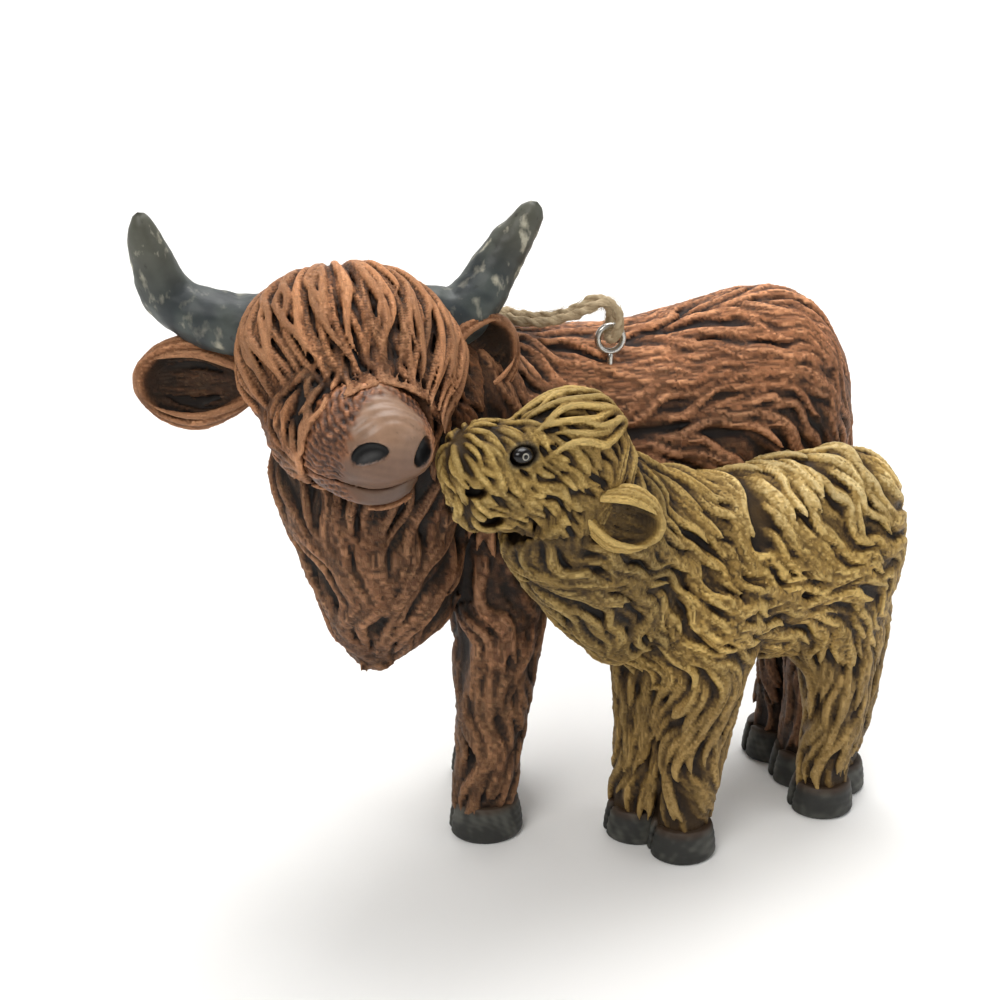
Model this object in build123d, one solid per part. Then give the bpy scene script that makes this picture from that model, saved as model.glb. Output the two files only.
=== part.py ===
from build123d import *
import os
from math import cos, pi, radians, sin, tan

# Hanging ornament: a long-haired horned cow with her calf, cast in resin, hung by a twine loop.
# Millimetres, +Z up. The cow stands along X and looks towards -X, with her head turned to -Y,
# and her calf stands on that side. The origin is on the ground, under the middle of the animals' box.

# Shared sizes
cut_overrun = 1.0  # how far a cutting tool runs past what it cuts

# Cow: stance and torso
cow_mid_y = 12.0  # the plane that halves her torso
cow_fore_x = -5.5  # where her forelegs stand
cow_wheelbase = 50.5
cow_belly_up = 34.0
cow_torso_height = 42.0
cow_torso_width = 28.0
cow_torso_length = 69.5
cow_rump_overhang = 5.0
cow_torso_aside = 1.5

# Cow: neck, from the torso round to the back of the head
cow_neck_root_behind = 2.5
cow_neck_root_aside = 1.0
cow_neck_root_up = 57.0
cow_neck_yaw = -48.0
cow_neck_pitch = -21.0
cow_neck_length = 31.0
cow_neck_width = 25.0
cow_neck_height = 31.0

# Cow: mane that hangs under the neck
cow_mane_drop = 36.5
cow_mane_reach = 24.0
cow_mane_width = 20.0
cow_mane_ahead = 17.0
cow_mane_aside = 12.5
cow_mane_up = 67.5

# Cow: head, muzzle, horns and ears
cow_head_ahead = 22.0  # from the forelegs to the back of the skull
cow_head_aside = 7.0
cow_head_up = 80.0
cow_head_yaw = 7.6
cow_head_pitch = 27.6
cow_head_length = 31.0
cow_head_width = 26.0
cow_head_height = 21.5
cow_muzzle_length = 5.2
nostril_gap = 5.6
nostril_wide = 3.4
nostril_tall = 2.6
nostril_depth = 1.5
MUZZLE_NOSTRIL_SHARE = 0.9  # where the nostrils lie along the muzzle
NOSTRIL_RISE_SHARE = 0.25
MOUTH_RISE_SHARE = 0.17
mouth_gap = 0.7
mouth_depth = 1.2
horn_root_out = 9.0
horn_base_out = 14.4
horn_tip_out = 24.6
horn_root_up = 79.0
horn_tip_up = 93.0
horn_thickness = 6.8
horn_behind_head = 6.5
HORN_BEND_SHARE = 0.25
right_horn_elbow_out = 21.6
right_horn_elbow_up = 82.6
left_horn_elbow_out = 19.6
left_horn_elbow_up = 84.6
cow_ear_length = 16.0
cow_ear_height = 12.0
cow_ear_thickness = 5.0
cow_ear_wall = 1.3
cow_ear_up = 71.0
cow_ear_behind = 6.0
right_ear_yaw = -97.0
right_ear_pitch = -3.0
left_ear_yaw = 104.0
left_ear_pitch = -32.0
right_ear_out = 11.4
left_ear_length = 13.0
left_ear_out = 11.0
left_ear_behind = 9.5
left_ear_up = 70.5
forelock_width = 4.4
forelock_thickness = 2.6
LOCK_NARROWING_SHARE = 0.30  # how much of its turn round the head a lock loses on the way down
LOCK_TIP_TURN_SHARE = 0.74

# Cow: legs, hooves and tail
cow_leg_thickness = 9.8
cow_foreleg_top_up = 52.0
cow_hind_leg_top_up = 50.0
cow_left_foreleg_aside = 9.0
cow_right_foreleg_aside = 7.2
cow_foreleg_stagger = 1.6
cow_left_hind_leg_aside = 4.6
cow_right_hind_leg_aside = 4.0
cow_hind_leg_stagger = 0.6
cow_hoof_height = 5.6
cow_hoof_length = 10.6
cow_hoof_width = 9.6
cow_tail_length = 32.0
cow_tail_thickness = 4.2
cow_tail_up = 68.0
cow_tail_aside = 5.0
cow_tail_inset = 3.0

# Calf: stance and torso
calf_fore_x = 17.2
calf_mid_y = -5.5  # the middle of its forelegs
calf_wheelbase = 29.6
calf_yaw = 81.0
calf_torso_up = 42.6
calf_torso_length = 49.0
calf_torso_width = 18.5
calf_torso_height = 30.5
calf_rump_overhang = 7.5
calf_torso_swing = 6.8

# Calf: neck and head
calf_neck_root_ahead = 3.2
calf_neck_root_up = 41.0
calf_neck_yaw = -62.0
calf_neck_pitch = -45.0
calf_neck_length = 27.0
calf_neck_width = 17.5
calf_neck_height = 25.0
calf_head_ahead = 9.2
calf_head_aside = 7.5
calf_head_up = 63.0
calf_head_yaw = -72.0
calf_head_pitch = -2.0
calf_head_length = 25.5
calf_head_width = 13.5
calf_head_height = 16.0
calf_ear_length = 11.5
calf_ear_height = 8.5
calf_ear_thickness = 4.0
calf_ear_wall = 1.0
calf_ear_up = 58.8
calf_ear_ahead = 7.6
calf_ear_out = 6.6
calf_ear_yaw = 80.0
calf_ear_pitch = 22.0
far_ear_yaw = 140.0
far_ear_pitch = 25.0
calf_eye_length = 2.6
calf_eye_height = 2.0
calf_eye_depth = 1.6
far_ear_ahead = 4.0
far_ear_out = 6.0
calf_forelock_width = 4.0
calf_forelock_thickness = 2.4

# Calf: legs, hooves and tail
calf_leg_thickness = 9.0
calf_foreleg_top_up = 42.0
calf_hind_leg_top_up = 44.0
calf_leg_gap_x = 4.8  # how far a foreleg stands before its twin
calf_leg_gap_y = 6.4
calf_hind_gap_x = 4.6
calf_hind_gap_y = 5.6
calf_hoof_height = 5.0
calf_hoof_length = 9.6
calf_hoof_width = 8.8
calf_tail_length = 18.0
calf_tail_thickness = 3.0
calf_tail_up = 52.0
hoof_cleft_width = 1.4

# Hanger: a wire screw eye in the cow's back, and the twine through it
eye_x = 11.0
eye_y = 5.2
eye_up = 73.4
eye_wire = 0.9
eye_hole = 2.7
eye_shank_length = 8.0
twine_thickness = 1.4
knot_width = 4.6
knot_height = 4.0
knot_tail_length = 6.5
knot_tail_spread = 1.1
knot_drop = 2.6
knot_first_tilt = 24.0
knot_second_tilt = -28.0

# Rows of a lofted body: along, across, rise, broad, tall. Along is a share of its length,
# across and broad of its width, rise and tall of its height. A row without width is a pole.
COW_TORSO_SHARES = (
    (0.0, 0, 0.08, 0, 0),
    (0.012, 0, 0.08, 0.34, 0.36),
    (0.05, 0, 0.075, 0.66, 0.68),
    (0.12, 0, 0.06, 0.90, 0.93),
    (0.22, 0, 0.045, 1.00, 1.02),
    (0.36, 0, 0.01, 1.03, 0.98),
    (0.52, 0, -0.02, 1.04, 0.935),
    (0.68, 0, -0.01, 1.04, 0.93),
    (0.80, 0, 0.0, 1.02, 0.92),
    (0.90, 0, 0.02, 0.88, 0.78),
    (0.965, 0, 0.03, 0.60, 0.52),
    (0.99, 0, 0.03, 0.32, 0.28),
    (1.0, 0, 0.03, 0, 0),
)
COW_MANE_SHARES = (
    (0.0, 0, -0.04, 0.80, 0.92),
    (0.22, 0, -0.05, 0.97, 1.08),
    (0.46, 0, 0.0, 1.0, 0.98),
    (0.66, 0, 0.05, 0.90, 0.88),
    (0.83, 0, 0.05, 0.66, 0.70),
    (0.95, 0, -0.02, 0.34, 0.36),
    (0.99, 0, -0.05, 0.16, 0.17),
    (1.0, 0, -0.06, 0, 0),
)
COW_HEAD_SHARES = (
    (0.0, 0, 0, 0, 0),
    (0.02, 0, 0, 0.34, 0.36),
    (0.08, 0, 0, 0.64, 0.66),
    (0.18, 0, 0, 0.88, 0.90),
    (0.32, 0, 0, 1.0, 1.0),
    (0.50, 0, 0, 1.0, 0.97),
    (0.66, 0, -0.01, 0.84, 0.84),
    (0.83, 0, -0.02, 0.60, 0.68),
    (1.0, 0, -0.02, 0.48, 0.60),
)
COW_MUZZLE_SHARES = (
    (0.0, 0, -0.02, 0.48, 0.60),
    (0.35, 0, -0.02, 0.48, 0.59),
    (0.70, 0, -0.02, 0.40, 0.49),
    (0.92, 0, -0.02, 0.23, 0.28),
    (1.0, 0, -0.02, 0, 0),
)
CALF_TORSO_SHARES = (
    (0.0, 0, 0.03, 0, 0),
    (0.015, 0, 0.03, 0.34, 0.36),
    (0.07, 0, 0.03, 0.70, 0.72),
    (0.18, 0, 0.02, 0.93, 0.96),
    (0.34, 0, 0.0, 1.0, 1.0),
    (0.50, 0, -0.02, 1.02, 0.96),
    (0.64, 0, -0.02, 1.02, 0.93),
    (0.78, 0, 0.0, 1.0, 0.98),
    (0.90, 0, 0.0, 0.80, 0.80),
    (0.98, 0, 0.0, 0.40, 0.40),
    (1.0, 0, 0.0, 0, 0),
)
CALF_HEAD_SHARES = (
    (0.0, 0, 0, 0, 0),
    (0.02, 0, 0, 0.32, 0.34),
    (0.09, 0, 0, 0.68, 0.70),
    (0.22, 0, 0, 0.95, 0.96),
    (0.40, 0, 0, 1.0, 1.0),
    (0.56, 0, -0.05, 0.88, 0.92),
    (0.72, 0, -0.10, 0.72, 0.80),
    (0.88, 0, -0.12, 0.62, 0.70),
    (0.97, 0, -0.11, 0.38, 0.42),
    (1.0, 0, -0.11, 0, 0),
)
NECK_SHARES = (
    (0.0, 0, 0, 0.95, 1.0),
    (0.35, 0, 0, 1.0, 1.0),
    (0.70, 0, 0, 0.95, 0.92),
    (1.0, 0, 0, 0.80, 0.78),
)
EAR_SHARES = (
    (0.0, 0, 0, 0.60, 0.30),
    (0.22, 0, 0, 0.90, 0.72),
    (0.48, 0, 0, 1.0, 1.0),
    (0.74, 0, 0, 0.88, 0.86),
    (0.92, 0, 0, 0.56, 0.50),
    (0.985, 0, 0, 0.26, 0.22),
    (1.0, 0, 0, 0, 0),
)
EAR_CUP_SHARE = 0.80
EYE_ALONG_SHARE = 0.55
EYE_RISE_SHARE = 0.30
FORELEG_SHARES = (
    (0.0, 0, 0, 0.98, 0.93),
    (0.12, 0, 0, 0.98, 0.90),
    (0.35, 0.12, 0, 1.08, 0.98),
    (0.60, 0.18, 0, 1.35, 1.18),
    (0.82, 0.20, 0, 1.65, 1.42),
    (1.0, 0.20, 0, 1.75, 1.45),
)
HIND_LEG_SHARES = (
    (0.0, 0, 0, 0.98, 0.93),
    (0.15, 0.05, 0, 0.95, 0.88),
    (0.38, 0.12, 0, 1.10, 0.95),
    (0.62, 0.0, 0, 1.55, 1.12),
    (0.84, -0.25, 0, 1.8, 1.3),
    (1.0, -0.3, 0, 1.9, 1.35),
)
HOOF_SHARES = (
    (0.0, 0, 0, 0.97, 0.97),
    (0.12, 0, 0, 1.04, 1.04),
    (0.55, 0, 0, 1.0, 1.0),
    (1.0, 0, 0, 0.90, 0.90),
)
TAIL_SHARES = (
    (0.0, 0, 0, 0.8, 0.8),
    (0.25, 0.95, 0, 0.8, 0.8),
    (0.55, 1.15, 0, 1.0, 1.0),
    (0.82, 1.05, 0, 0.9, 0.9),
    (0.96, 0.95, 0, 0.4, 0.4),
    (1.0, 0.95, 0, 0, 0),
)
CALF_TAIL_SHARES = (
    (0.0, 0, 0, 0.8, 0.8),
    (0.25, 1.2, 0, 0.9, 0.9),
    (0.60, 1.6, 0, 1.1, 1.1),
    (0.85, 1.4, 0, 0.8, 0.8),
    (1.0, 1.2, 0, 0, 0),
)
HORN_PLACE_SHARES = (0.0, 0.16, 0.34, 0.52, 0.70, 0.85, 0.95, 0.99)
HORN_THICKNESS_SHARES = (1.0, 1.0, 0.95, 0.84, 0.70, 0.56, 0.42, 0.24)
# A fringe lock, from the poll down the face: place along the head, then width and thickness.
LOCK_SHARES = (
    (0.07, 0.50, 0.60),
    (0.18, 0.90, 1.0),
    (0.34, 1.0, 1.0),
    (0.54, 0.90, 0.95),
    (0.72, 0.66, 0.80),
    (0.84, 0.32, 0.50),
)
LOCK_TIP_SHARES = (0.90, 0.94, 0.89, 0.93, 0.97, 0.91, 0.95, 0.90, 0.92)
COW_LOCK_ANGLES = (-68, -52, -36, -20, -4, 12, 28, 44, 60)
CALF_LOCK_ANGLES = (-50, -25, 0, 25, 50)

# The twine's route from the knot, through the screw eye and back, chosen by hand.
TWINE_ROUTE = (
    (-19.6, 27.0, 58.0),
    (-20.4, 26.6, 67.0),
    (-18.6, 23.4, 75.4),
    (-13.4, 18.2, 79.0),
    (-5.6, 12.6, 77.2),
    (1.6, 8.4, 75.9),
    (6.4, 7.2, 77.0),
    (9.9, 7.1, 79.3),
    (11.8, 7.2, 76.4),
    (11.0, 7.1, 73.4),
    (11.0, 3.3, 73.4),
    (11.9, 3.2, 76.3),
    (10.2, 3.4, 79.5),
    (5.8, 4.0, 77.0),
    (0.0, 5.6, 75.7),
    (-7.0, 10.2, 77.2),
    (-14.6, 15.6, 79.6),
    (-20.4, 21.3, 76.4),
    (-22.6, 25.4, 67.4),
    (-22.0, 26.8, 58.0),
)
ROUTE_RADIUS_SHARE = 0.45

nodes = {}


def facing(place, yaw, pitch):
    """A plane whose normal is -Y, turned by yaw towards +X and dipped by pitch; its x axis is level."""
    level = cos(radians(pitch))
    ahead = (sin(radians(yaw)) * level, -cos(radians(yaw)) * level, -sin(radians(pitch)))
    return Plane(origin=place, x_dir=(cos(radians(yaw)), sin(radians(yaw)), 0), z_dir=ahead)


def upright(place):
    """A level plane that looks up, with its x axis along X."""
    return Plane(origin=place, x_dir=(1, 0, 0), z_dir=(0, 0, 1))


def body(frame, length, width, height, shares):
    """Lofts a body through ellipses square to the frame's normal."""
    sections = []
    for along, across, rise, broad, tall in shares:
        place = Location((across * width, rise * height, along * length))
        section = Plane(frame.location * place)
        if broad == 0:
            sections.append(Vertex(*section.origin))
        else:
            sections.append(section * Ellipse(broad * width / 2, tall * height / 2))
    return loft(sections)


def seat(name, shape, *carriers):
    """Adds a piece, cut to seat on the pieces that it would run into."""
    for carrier in carriers:
        shape = shape - nodes[carrier]
        shape = shape.solids().sort_by(SortBy.VOLUME)[-1]
    nodes[name] = shape.solids().sort_by(SortBy.VOLUME)[-1]


def horn(side, elbow_out, elbow_up):
    """A horn lofted through circles along its curve, out, then up to a blunt tip."""
    middle = head_middle_x
    behind = head_start[1] - horn_behind_head
    places = [
        (middle + side * horn_root_out, behind, horn_root_up),
        (middle + side * horn_base_out, behind, horn_root_up),
        (middle + side * elbow_out, behind + horn_thickness * HORN_BEND_SHARE, elbow_up),
        (middle + side * horn_tip_out, behind, horn_tip_up),
    ]
    path = Spline(*places)
    sections = []
    for share, thick in zip(HORN_PLACE_SHARES, HORN_THICKNESS_SHARES):
        section = Plane(origin=path @ share, x_dir=(0, 1, 0), z_dir=path % share)
        sections.append(section * Circle(thick * horn_thickness / 2))
    sections.append(Vertex(*(path @ 1)))
    return loft(sections)


def ear(frame, length, height, thickness, wall):
    """A leaf-shaped ear, hollowed on its front to an open cup; its front is the frame's x side."""
    leaf = body(frame, length, thickness, height, EAR_SHARES)
    start = frame.location * Location((thickness / 2 - wall / 2, 0, wall))
    cup_length = length - 2 * wall
    cup = body(Plane(start), cup_length, thickness, height * EAR_CUP_SHARE, EAR_SHARES)
    return leaf - cup


def hoof(place, length, width, height):
    """A hoof that spreads to its sole, with the cleft in front."""
    shape = body(upright(place), height, length, width, HOOF_SHARES)
    groove = Cylinder(hoof_cleft_width / 2, height * 2 + cut_overrun * 2)
    return shape - Pos(place[0] - length / 2, place[1], place[2]) * groove


def lock(frame, length, width, height, angle, lock_width, thickness, tip_share, shares):
    """One fringe lock: ellipses that ride on the head's own section at this angle round its axis."""
    sections = []
    turn = radians(angle)
    for along, broad, thick in LOCK_SHARES:
        half_wide, half_tall = head_section(along, width, height, shares)
        narrowing = 1 - LOCK_NARROWING_SHARE * along
        swing = turn * narrowing
        place = Location((sin(swing) * half_wide, cos(swing) * half_tall, along * length))
        section = Plane(frame.location * place * Location((0, 0, 0), (0, 0, -angle * narrowing)))
        sections.append(section * Ellipse(broad * lock_width / 2, thick * thickness / 2))
    half_wide, half_tall = head_section(tip_share, width, height, shares)
    swing = turn * LOCK_TIP_TURN_SHARE
    tip = frame.location * Location((sin(swing) * half_wide, cos(swing) * half_tall, tip_share * length))
    sections.append(Vertex(*tip.position))
    return loft(sections)


def head_section(along, width, height, shares):
    """Half the width and half the height of a head at a share of its length, between its rows."""
    for first, second in zip(shares, shares[1:]):
        if first[0] <= along <= second[0]:
            part = (along - first[0]) / (second[0] - first[0])
            broad = first[3] + (second[3] - first[3]) * part
            tall = first[4] + (second[4] - first[4]) * part
            return broad * width / 2, tall * height / 2
    return shares[-1][3] * width / 2, shares[-1][4] * height / 2


def forelock(frame, length, width, height, angles, lock_width, thickness, shares):
    """Tapered locks side by side, fanned from the poll."""
    locks = []
    for angle, tip_share in zip(angles, LOCK_TIP_SHARES):
        locks.append(
            lock(frame, length, width, height, angle, lock_width, thickness, tip_share, shares)
        )
    return locks[0].fuse(*locks[1:])


def screw_eye():
    """A wire ring that stands lengthwise on its shank, which is cast into the cow's back."""
    ring_radius = (eye_hole + eye_wire) / 2
    ring = Pos(eye_x, eye_y, eye_up) * Rot(90, 0, 0) * Torus(ring_radius, eye_wire / 2)
    shank = Cylinder(eye_wire / 2, eye_shank_length, align=(Align.CENTER, Align.CENTER, Align.MAX))
    return ring + Pos(eye_x, eye_y, eye_up - ring_radius) * shank


def twine_loop():
    """The twine as a tube of straight runs joined by the largest arcs that they allow."""
    points = [Vector(*point) for point in TWINE_ROUTE]
    radii = []
    for before, corner, after in zip(points, points[1:], points[2:]):
        turn = radians((corner - before).get_angle(after - corner))
        shorter = min((corner - before).length, (after - corner).length)
        radii.append(ROUTE_RADIUS_SHARE * shorter / tan(turn / 2))
    print("twine radii", [round(radius, 2) for radius in radii])
    path = FilletPolyline(*points, radius=radii)
    start = Plane(origin=points[0], z_dir=points[1] - points[0])
    tube = sweep(start * Circle(twine_thickness / 2), path=path)
    print("twine length", round(path.length, 2))
    print("twine volume share", tube.volume / (path.length * pi * (twine_thickness / 2) ** 2))
    return tube


def twine_knot():
    """The overhand knot that closes the loop, with the twine's two cut ends below it."""
    first = TWINE_ROUTE[0]
    last = TWINE_ROUTE[-1]
    middle = [(a + b) / 2 for a, b in zip(first, last)]
    middle[2] -= knot_drop
    core = Pos(*middle) * Sphere(knot_height / 2)
    wrap = Torus((knot_width - twine_thickness) / 2, twine_thickness / 2)
    knot = core + Pos(*middle) * Rot(0, knot_first_tilt, 0) * wrap
    knot = knot + Pos(*middle) * Rot(0, knot_second_tilt, 0) * wrap
    for side in (-1, 1):
        tail = Cylinder(
            twine_thickness / 2, knot_tail_length, align=(Align.CENTER, Align.CENTER, Align.MAX)
        )
        knot = knot + Pos(middle[0] + side * knot_tail_spread, middle[1], middle[2]) * tail
    return knot


# Places worked out from the sizes
cow_hind_x = cow_fore_x + cow_wheelbase
head_start = (cow_fore_x - cow_head_ahead, cow_mid_y - cow_head_aside, cow_head_up)
head_half_reach = cow_head_length / 2 * cos(radians(cow_head_pitch))
head_middle_x = head_start[0] + head_half_reach * sin(radians(cow_head_yaw))
head_frame = facing(head_start, cow_head_yaw, cow_head_pitch)
calf_hind_x = calf_fore_x + calf_wheelbase
calf_hind_y = calf_mid_y + calf_torso_swing
calf_rump = (calf_hind_x + calf_rump_overhang, calf_hind_y, calf_torso_up)
calf_head_start = (calf_fore_x - calf_head_ahead, calf_mid_y - calf_head_aside, calf_head_up)
calf_head_frame = facing(calf_head_start, calf_head_yaw, calf_head_pitch)

# Cow
seat("cow_head", body(head_frame, cow_head_length, cow_head_width, cow_head_height, COW_HEAD_SHARES))
cow_rump = (cow_hind_x + cow_rump_overhang, cow_mid_y + cow_torso_aside, cow_belly_up + cow_torso_height / 2)
seat(
    "cow_torso",
    body(facing(cow_rump, -90, 0), cow_torso_length, cow_torso_width, cow_torso_height, COW_TORSO_SHARES),
)
seat("screw_eye", screw_eye(), "cow_torso")
neck_root = (cow_fore_x + cow_neck_root_behind, cow_mid_y + cow_neck_root_aside, cow_neck_root_up)
seat(
    "cow_neck",
    body(
        facing(neck_root, cow_neck_yaw, cow_neck_pitch),
        cow_neck_length, cow_neck_width, cow_neck_height, NECK_SHARES,
    ),
    "cow_head",
    "cow_torso",
)
mane_frame = Plane(
    origin=(cow_fore_x - cow_mane_ahead, cow_mid_y - cow_mane_aside, cow_mane_up),
    x_dir=(0, 1, 0),
    z_dir=(0, 0, -1),
)
seat(
    "cow_mane",
    body(mane_frame, cow_mane_drop, cow_mane_width, cow_mane_reach, COW_MANE_SHARES),
    "cow_head",
    "cow_torso",
    "cow_neck",
)
muzzle_start = Plane(head_frame.location * Location((0, 0, cow_head_length)))
muzzle = body(muzzle_start, cow_muzzle_length, cow_head_width, cow_head_height, COW_MUZZLE_SHARES)
for side in (-1, 1):
    nostril_rise = nostril_tall * NOSTRIL_RISE_SHARE
    nostril_place = Location(
        (side * nostril_gap / 2, nostril_rise, cow_muzzle_length * MUZZLE_NOSTRIL_SHARE)
    )
    nostril = Plane(muzzle_start.location * nostril_place) * Ellipse(nostril_wide / 2, nostril_tall / 2)
    muzzle = muzzle - extrude(nostril, nostril_depth, both=True)
mouth_place = Location((0, -cow_head_height * MOUTH_RISE_SHARE, cow_muzzle_length - mouth_depth))
mouth = Plane(muzzle_start.location * mouth_place) * Ellipse(cow_head_width / 2, mouth_gap / 2)
muzzle = muzzle - extrude(mouth, mouth_depth + cut_overrun)
seat("cow_muzzle", muzzle)
for name, side, elbow_out, elbow_up in (
    ("cow_right_horn", -1, right_horn_elbow_out, right_horn_elbow_up),
    ("cow_left_horn", 1, left_horn_elbow_out, left_horn_elbow_up),
):
    seat(name, horn(side, elbow_out, elbow_up), "cow_head", "cow_neck")
right_ear_place = (head_middle_x - right_ear_out, head_start[1] - cow_ear_behind, cow_ear_up)
seat(
    "cow_right_ear",
    ear(
        facing(right_ear_place, right_ear_yaw, right_ear_pitch),
        cow_ear_length, cow_ear_height, cow_ear_thickness, cow_ear_wall,
    ),
    "cow_head",
    "cow_neck",
    "cow_right_horn",
)
left_ear_place = (head_middle_x + left_ear_out, head_start[1] - left_ear_behind, left_ear_up)
left_ear_frame = facing(left_ear_place, left_ear_yaw, left_ear_pitch)
left_ear_front = Plane(origin=left_ear_frame.origin, x_dir=-left_ear_frame.x_dir, z_dir=left_ear_frame.z_dir)
seat(
    "cow_left_ear",
    ear(left_ear_front, left_ear_length, cow_ear_height, cow_ear_thickness, cow_ear_wall),
    "cow_head",
    "cow_neck",
    "cow_left_horn",
)
seat(
    "cow_forelock",
    forelock(
        head_frame, cow_head_length, cow_head_width, cow_head_height,
        COW_LOCK_ANGLES, forelock_width, forelock_thickness, COW_HEAD_SHARES,
    ),
    "cow_head",
    "cow_right_horn",
    "cow_left_horn",
)
cow_feet = {
    "cow_left_fore": (cow_fore_x - cow_foreleg_stagger, cow_mid_y - cow_left_foreleg_aside),
    "cow_right_fore": (cow_fore_x + cow_foreleg_stagger, cow_mid_y + cow_right_foreleg_aside),
    "cow_left_hind": (cow_hind_x + cow_hind_leg_stagger, cow_mid_y - cow_left_hind_leg_aside),
    "cow_right_hind": (cow_hind_x - cow_hind_leg_stagger, cow_mid_y + cow_right_hind_leg_aside),
}
calf_feet = {
    "calf_left_fore": (calf_fore_x + calf_leg_gap_x / 2, calf_mid_y - calf_leg_gap_y / 2),
    "calf_right_fore": (calf_fore_x - calf_leg_gap_x / 2, calf_mid_y + calf_leg_gap_y / 2),
    "calf_left_hind": (calf_hind_x - calf_hind_gap_x / 2, calf_hind_y - calf_hind_gap_y / 2),
    "calf_right_hind": (calf_hind_x + calf_hind_gap_x / 2, calf_hind_y + calf_hind_gap_y / 2),
}


# What each foot's hoof and leg seat against
CARRIERS = {
    "cow_left_fore": ((), ("cow_torso", "cow_neck", "cow_mane")),
    "cow_right_fore": ((), ("cow_torso",)),
    "cow_left_hind": ((), ("cow_torso",)),
    "cow_right_hind": (("cow_left_hind_hoof",), ("cow_torso", "cow_left_hind_leg")),
    "calf_left_fore": ((), ("calf_torso", "calf_neck")),
    "calf_right_fore": (
        ("calf_left_fore_hoof",),
        ("calf_torso", "calf_neck", "calf_left_fore_leg", "cow_torso"),
    ),
    "calf_left_hind": (("cow_left_hind_hoof",), ("calf_torso", "cow_left_hind_leg", "cow_left_hind_hoof")),
    "calf_right_hind": (
        ("calf_left_hind_hoof", "cow_left_hind_hoof"),
        ("calf_torso", "calf_left_hind_leg", "cow_left_hind_leg", "cow_left_hind_hoof"),
    ),
}


def legs(feet, hoof_height, hoof_length, hoof_width, thickness, fore_top, hind_top):
    """Seats the hooves, then a leg on each."""
    for name, (x, y) in feet.items():
        seat(f"{name}_hoof", hoof((x, y, 0), hoof_length, hoof_width, hoof_height), *CARRIERS[name][0])
    for name, (x, y) in feet.items():
        shares = FORELEG_SHARES if name.endswith("fore") else HIND_LEG_SHARES
        top = fore_top if name.endswith("fore") else hind_top
        leg = body(upright((x, y, hoof_height)), top - hoof_height, thickness, thickness, shares)
        seat(f"{name}_leg", leg, *CARRIERS[name][1])


legs(
    cow_feet, cow_hoof_height, cow_hoof_length, cow_hoof_width,
    cow_leg_thickness, cow_foreleg_top_up, cow_hind_leg_top_up,
)
tail_frame = Plane(
    origin=(cow_rump[0] - cow_tail_inset, cow_mid_y + cow_tail_aside, cow_tail_up),
    x_dir=(1, 0, 0),
    z_dir=(0, 0, -1),
)
seat(
    "cow_tail",
    body(tail_frame, cow_tail_length, cow_tail_thickness, cow_tail_thickness, TAIL_SHARES),
    "cow_torso",
    "cow_right_hind_leg",
)

# Calf
seat(
    "calf_head",
    body(calf_head_frame, calf_head_length, calf_head_width, calf_head_height, CALF_HEAD_SHARES),
    "cow_muzzle",
    "cow_head",
)
seat(
    "calf_torso",
    body(
        facing(calf_rump, -calf_yaw, 0), calf_torso_length, calf_torso_width, calf_torso_height,
        CALF_TORSO_SHARES,
    ),
    "cow_torso",
    "cow_left_hind_leg",
)
calf_neck_root = (calf_fore_x - calf_neck_root_ahead, calf_mid_y, calf_neck_root_up)
seat(
    "calf_neck",
    body(
        facing(calf_neck_root, calf_neck_yaw, calf_neck_pitch),
        calf_neck_length, calf_neck_width, calf_neck_height, NECK_SHARES,
    ),
    "calf_head",
    "calf_torso",
    "cow_torso",
    "cow_left_fore_leg",
)
calf_ear_place = (calf_head_start[0] - calf_ear_ahead, calf_head_start[1] - calf_ear_out, calf_ear_up)
calf_ear_frame = facing(calf_ear_place, calf_ear_yaw, calf_ear_pitch)
calf_ear_front = Plane(origin=calf_ear_frame.origin, x_dir=-calf_ear_frame.x_dir, z_dir=calf_ear_frame.z_dir)
seat(
    "calf_left_ear",
    ear(calf_ear_front, calf_ear_length, calf_ear_height, calf_ear_thickness, calf_ear_wall),
    "calf_head",
    "calf_neck",
)
far_ear_place = (calf_head_start[0] - far_ear_ahead, calf_head_start[1] + far_ear_out, calf_ear_up)
seat(
    "calf_right_ear",
    ear(
        facing(far_ear_place, far_ear_yaw, far_ear_pitch),
        calf_ear_length, calf_ear_height, calf_ear_thickness, calf_ear_wall,
    ),
    "calf_head",
    "calf_neck",
    "cow_torso",
)
for name, side in (("calf_left_eye", 1), ("calf_right_eye", -1)):
    eye_along = calf_head_length * EYE_ALONG_SHARE
    half_wide, half_tall = head_section(EYE_ALONG_SHARE, calf_head_width, calf_head_height, CALF_HEAD_SHARES)
    eye_rise = half_tall * EYE_RISE_SHARE
    eye_across = half_wide * (1 - EYE_RISE_SHARE**2) ** 0.5
    eye_frame = calf_head_frame.location * Location((side * eye_across, eye_rise, eye_along))
    flat = (calf_eye_depth / calf_eye_length, calf_eye_height / calf_eye_length, 1)
    eyeball = scale(Sphere(calf_eye_length / 2), by=flat)
    seat(name, eye_frame * eyeball, "calf_head")
seat(
    "calf_forelock",
    forelock(
        calf_head_frame, calf_head_length, calf_head_width, calf_head_height,
        CALF_LOCK_ANGLES, calf_forelock_width, calf_forelock_thickness, CALF_HEAD_SHARES,
    ),
    "calf_head",
)
legs(
    calf_feet, calf_hoof_height, calf_hoof_length, calf_hoof_width,
    calf_leg_thickness, calf_foreleg_top_up, calf_hind_leg_top_up,
)

calf_tail_frame = Plane(
    origin=(calf_rump[0] - calf_tail_thickness, calf_rump[1], calf_tail_up),
    x_dir=(1, 0, 0),
    z_dir=(0, 0, -1),
)
seat(
    "calf_tail",
    body(calf_tail_frame, calf_tail_length, calf_tail_thickness, calf_tail_thickness, CALF_TAIL_SHARES),
    "calf_torso",
    "calf_right_hind_leg",
)

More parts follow.
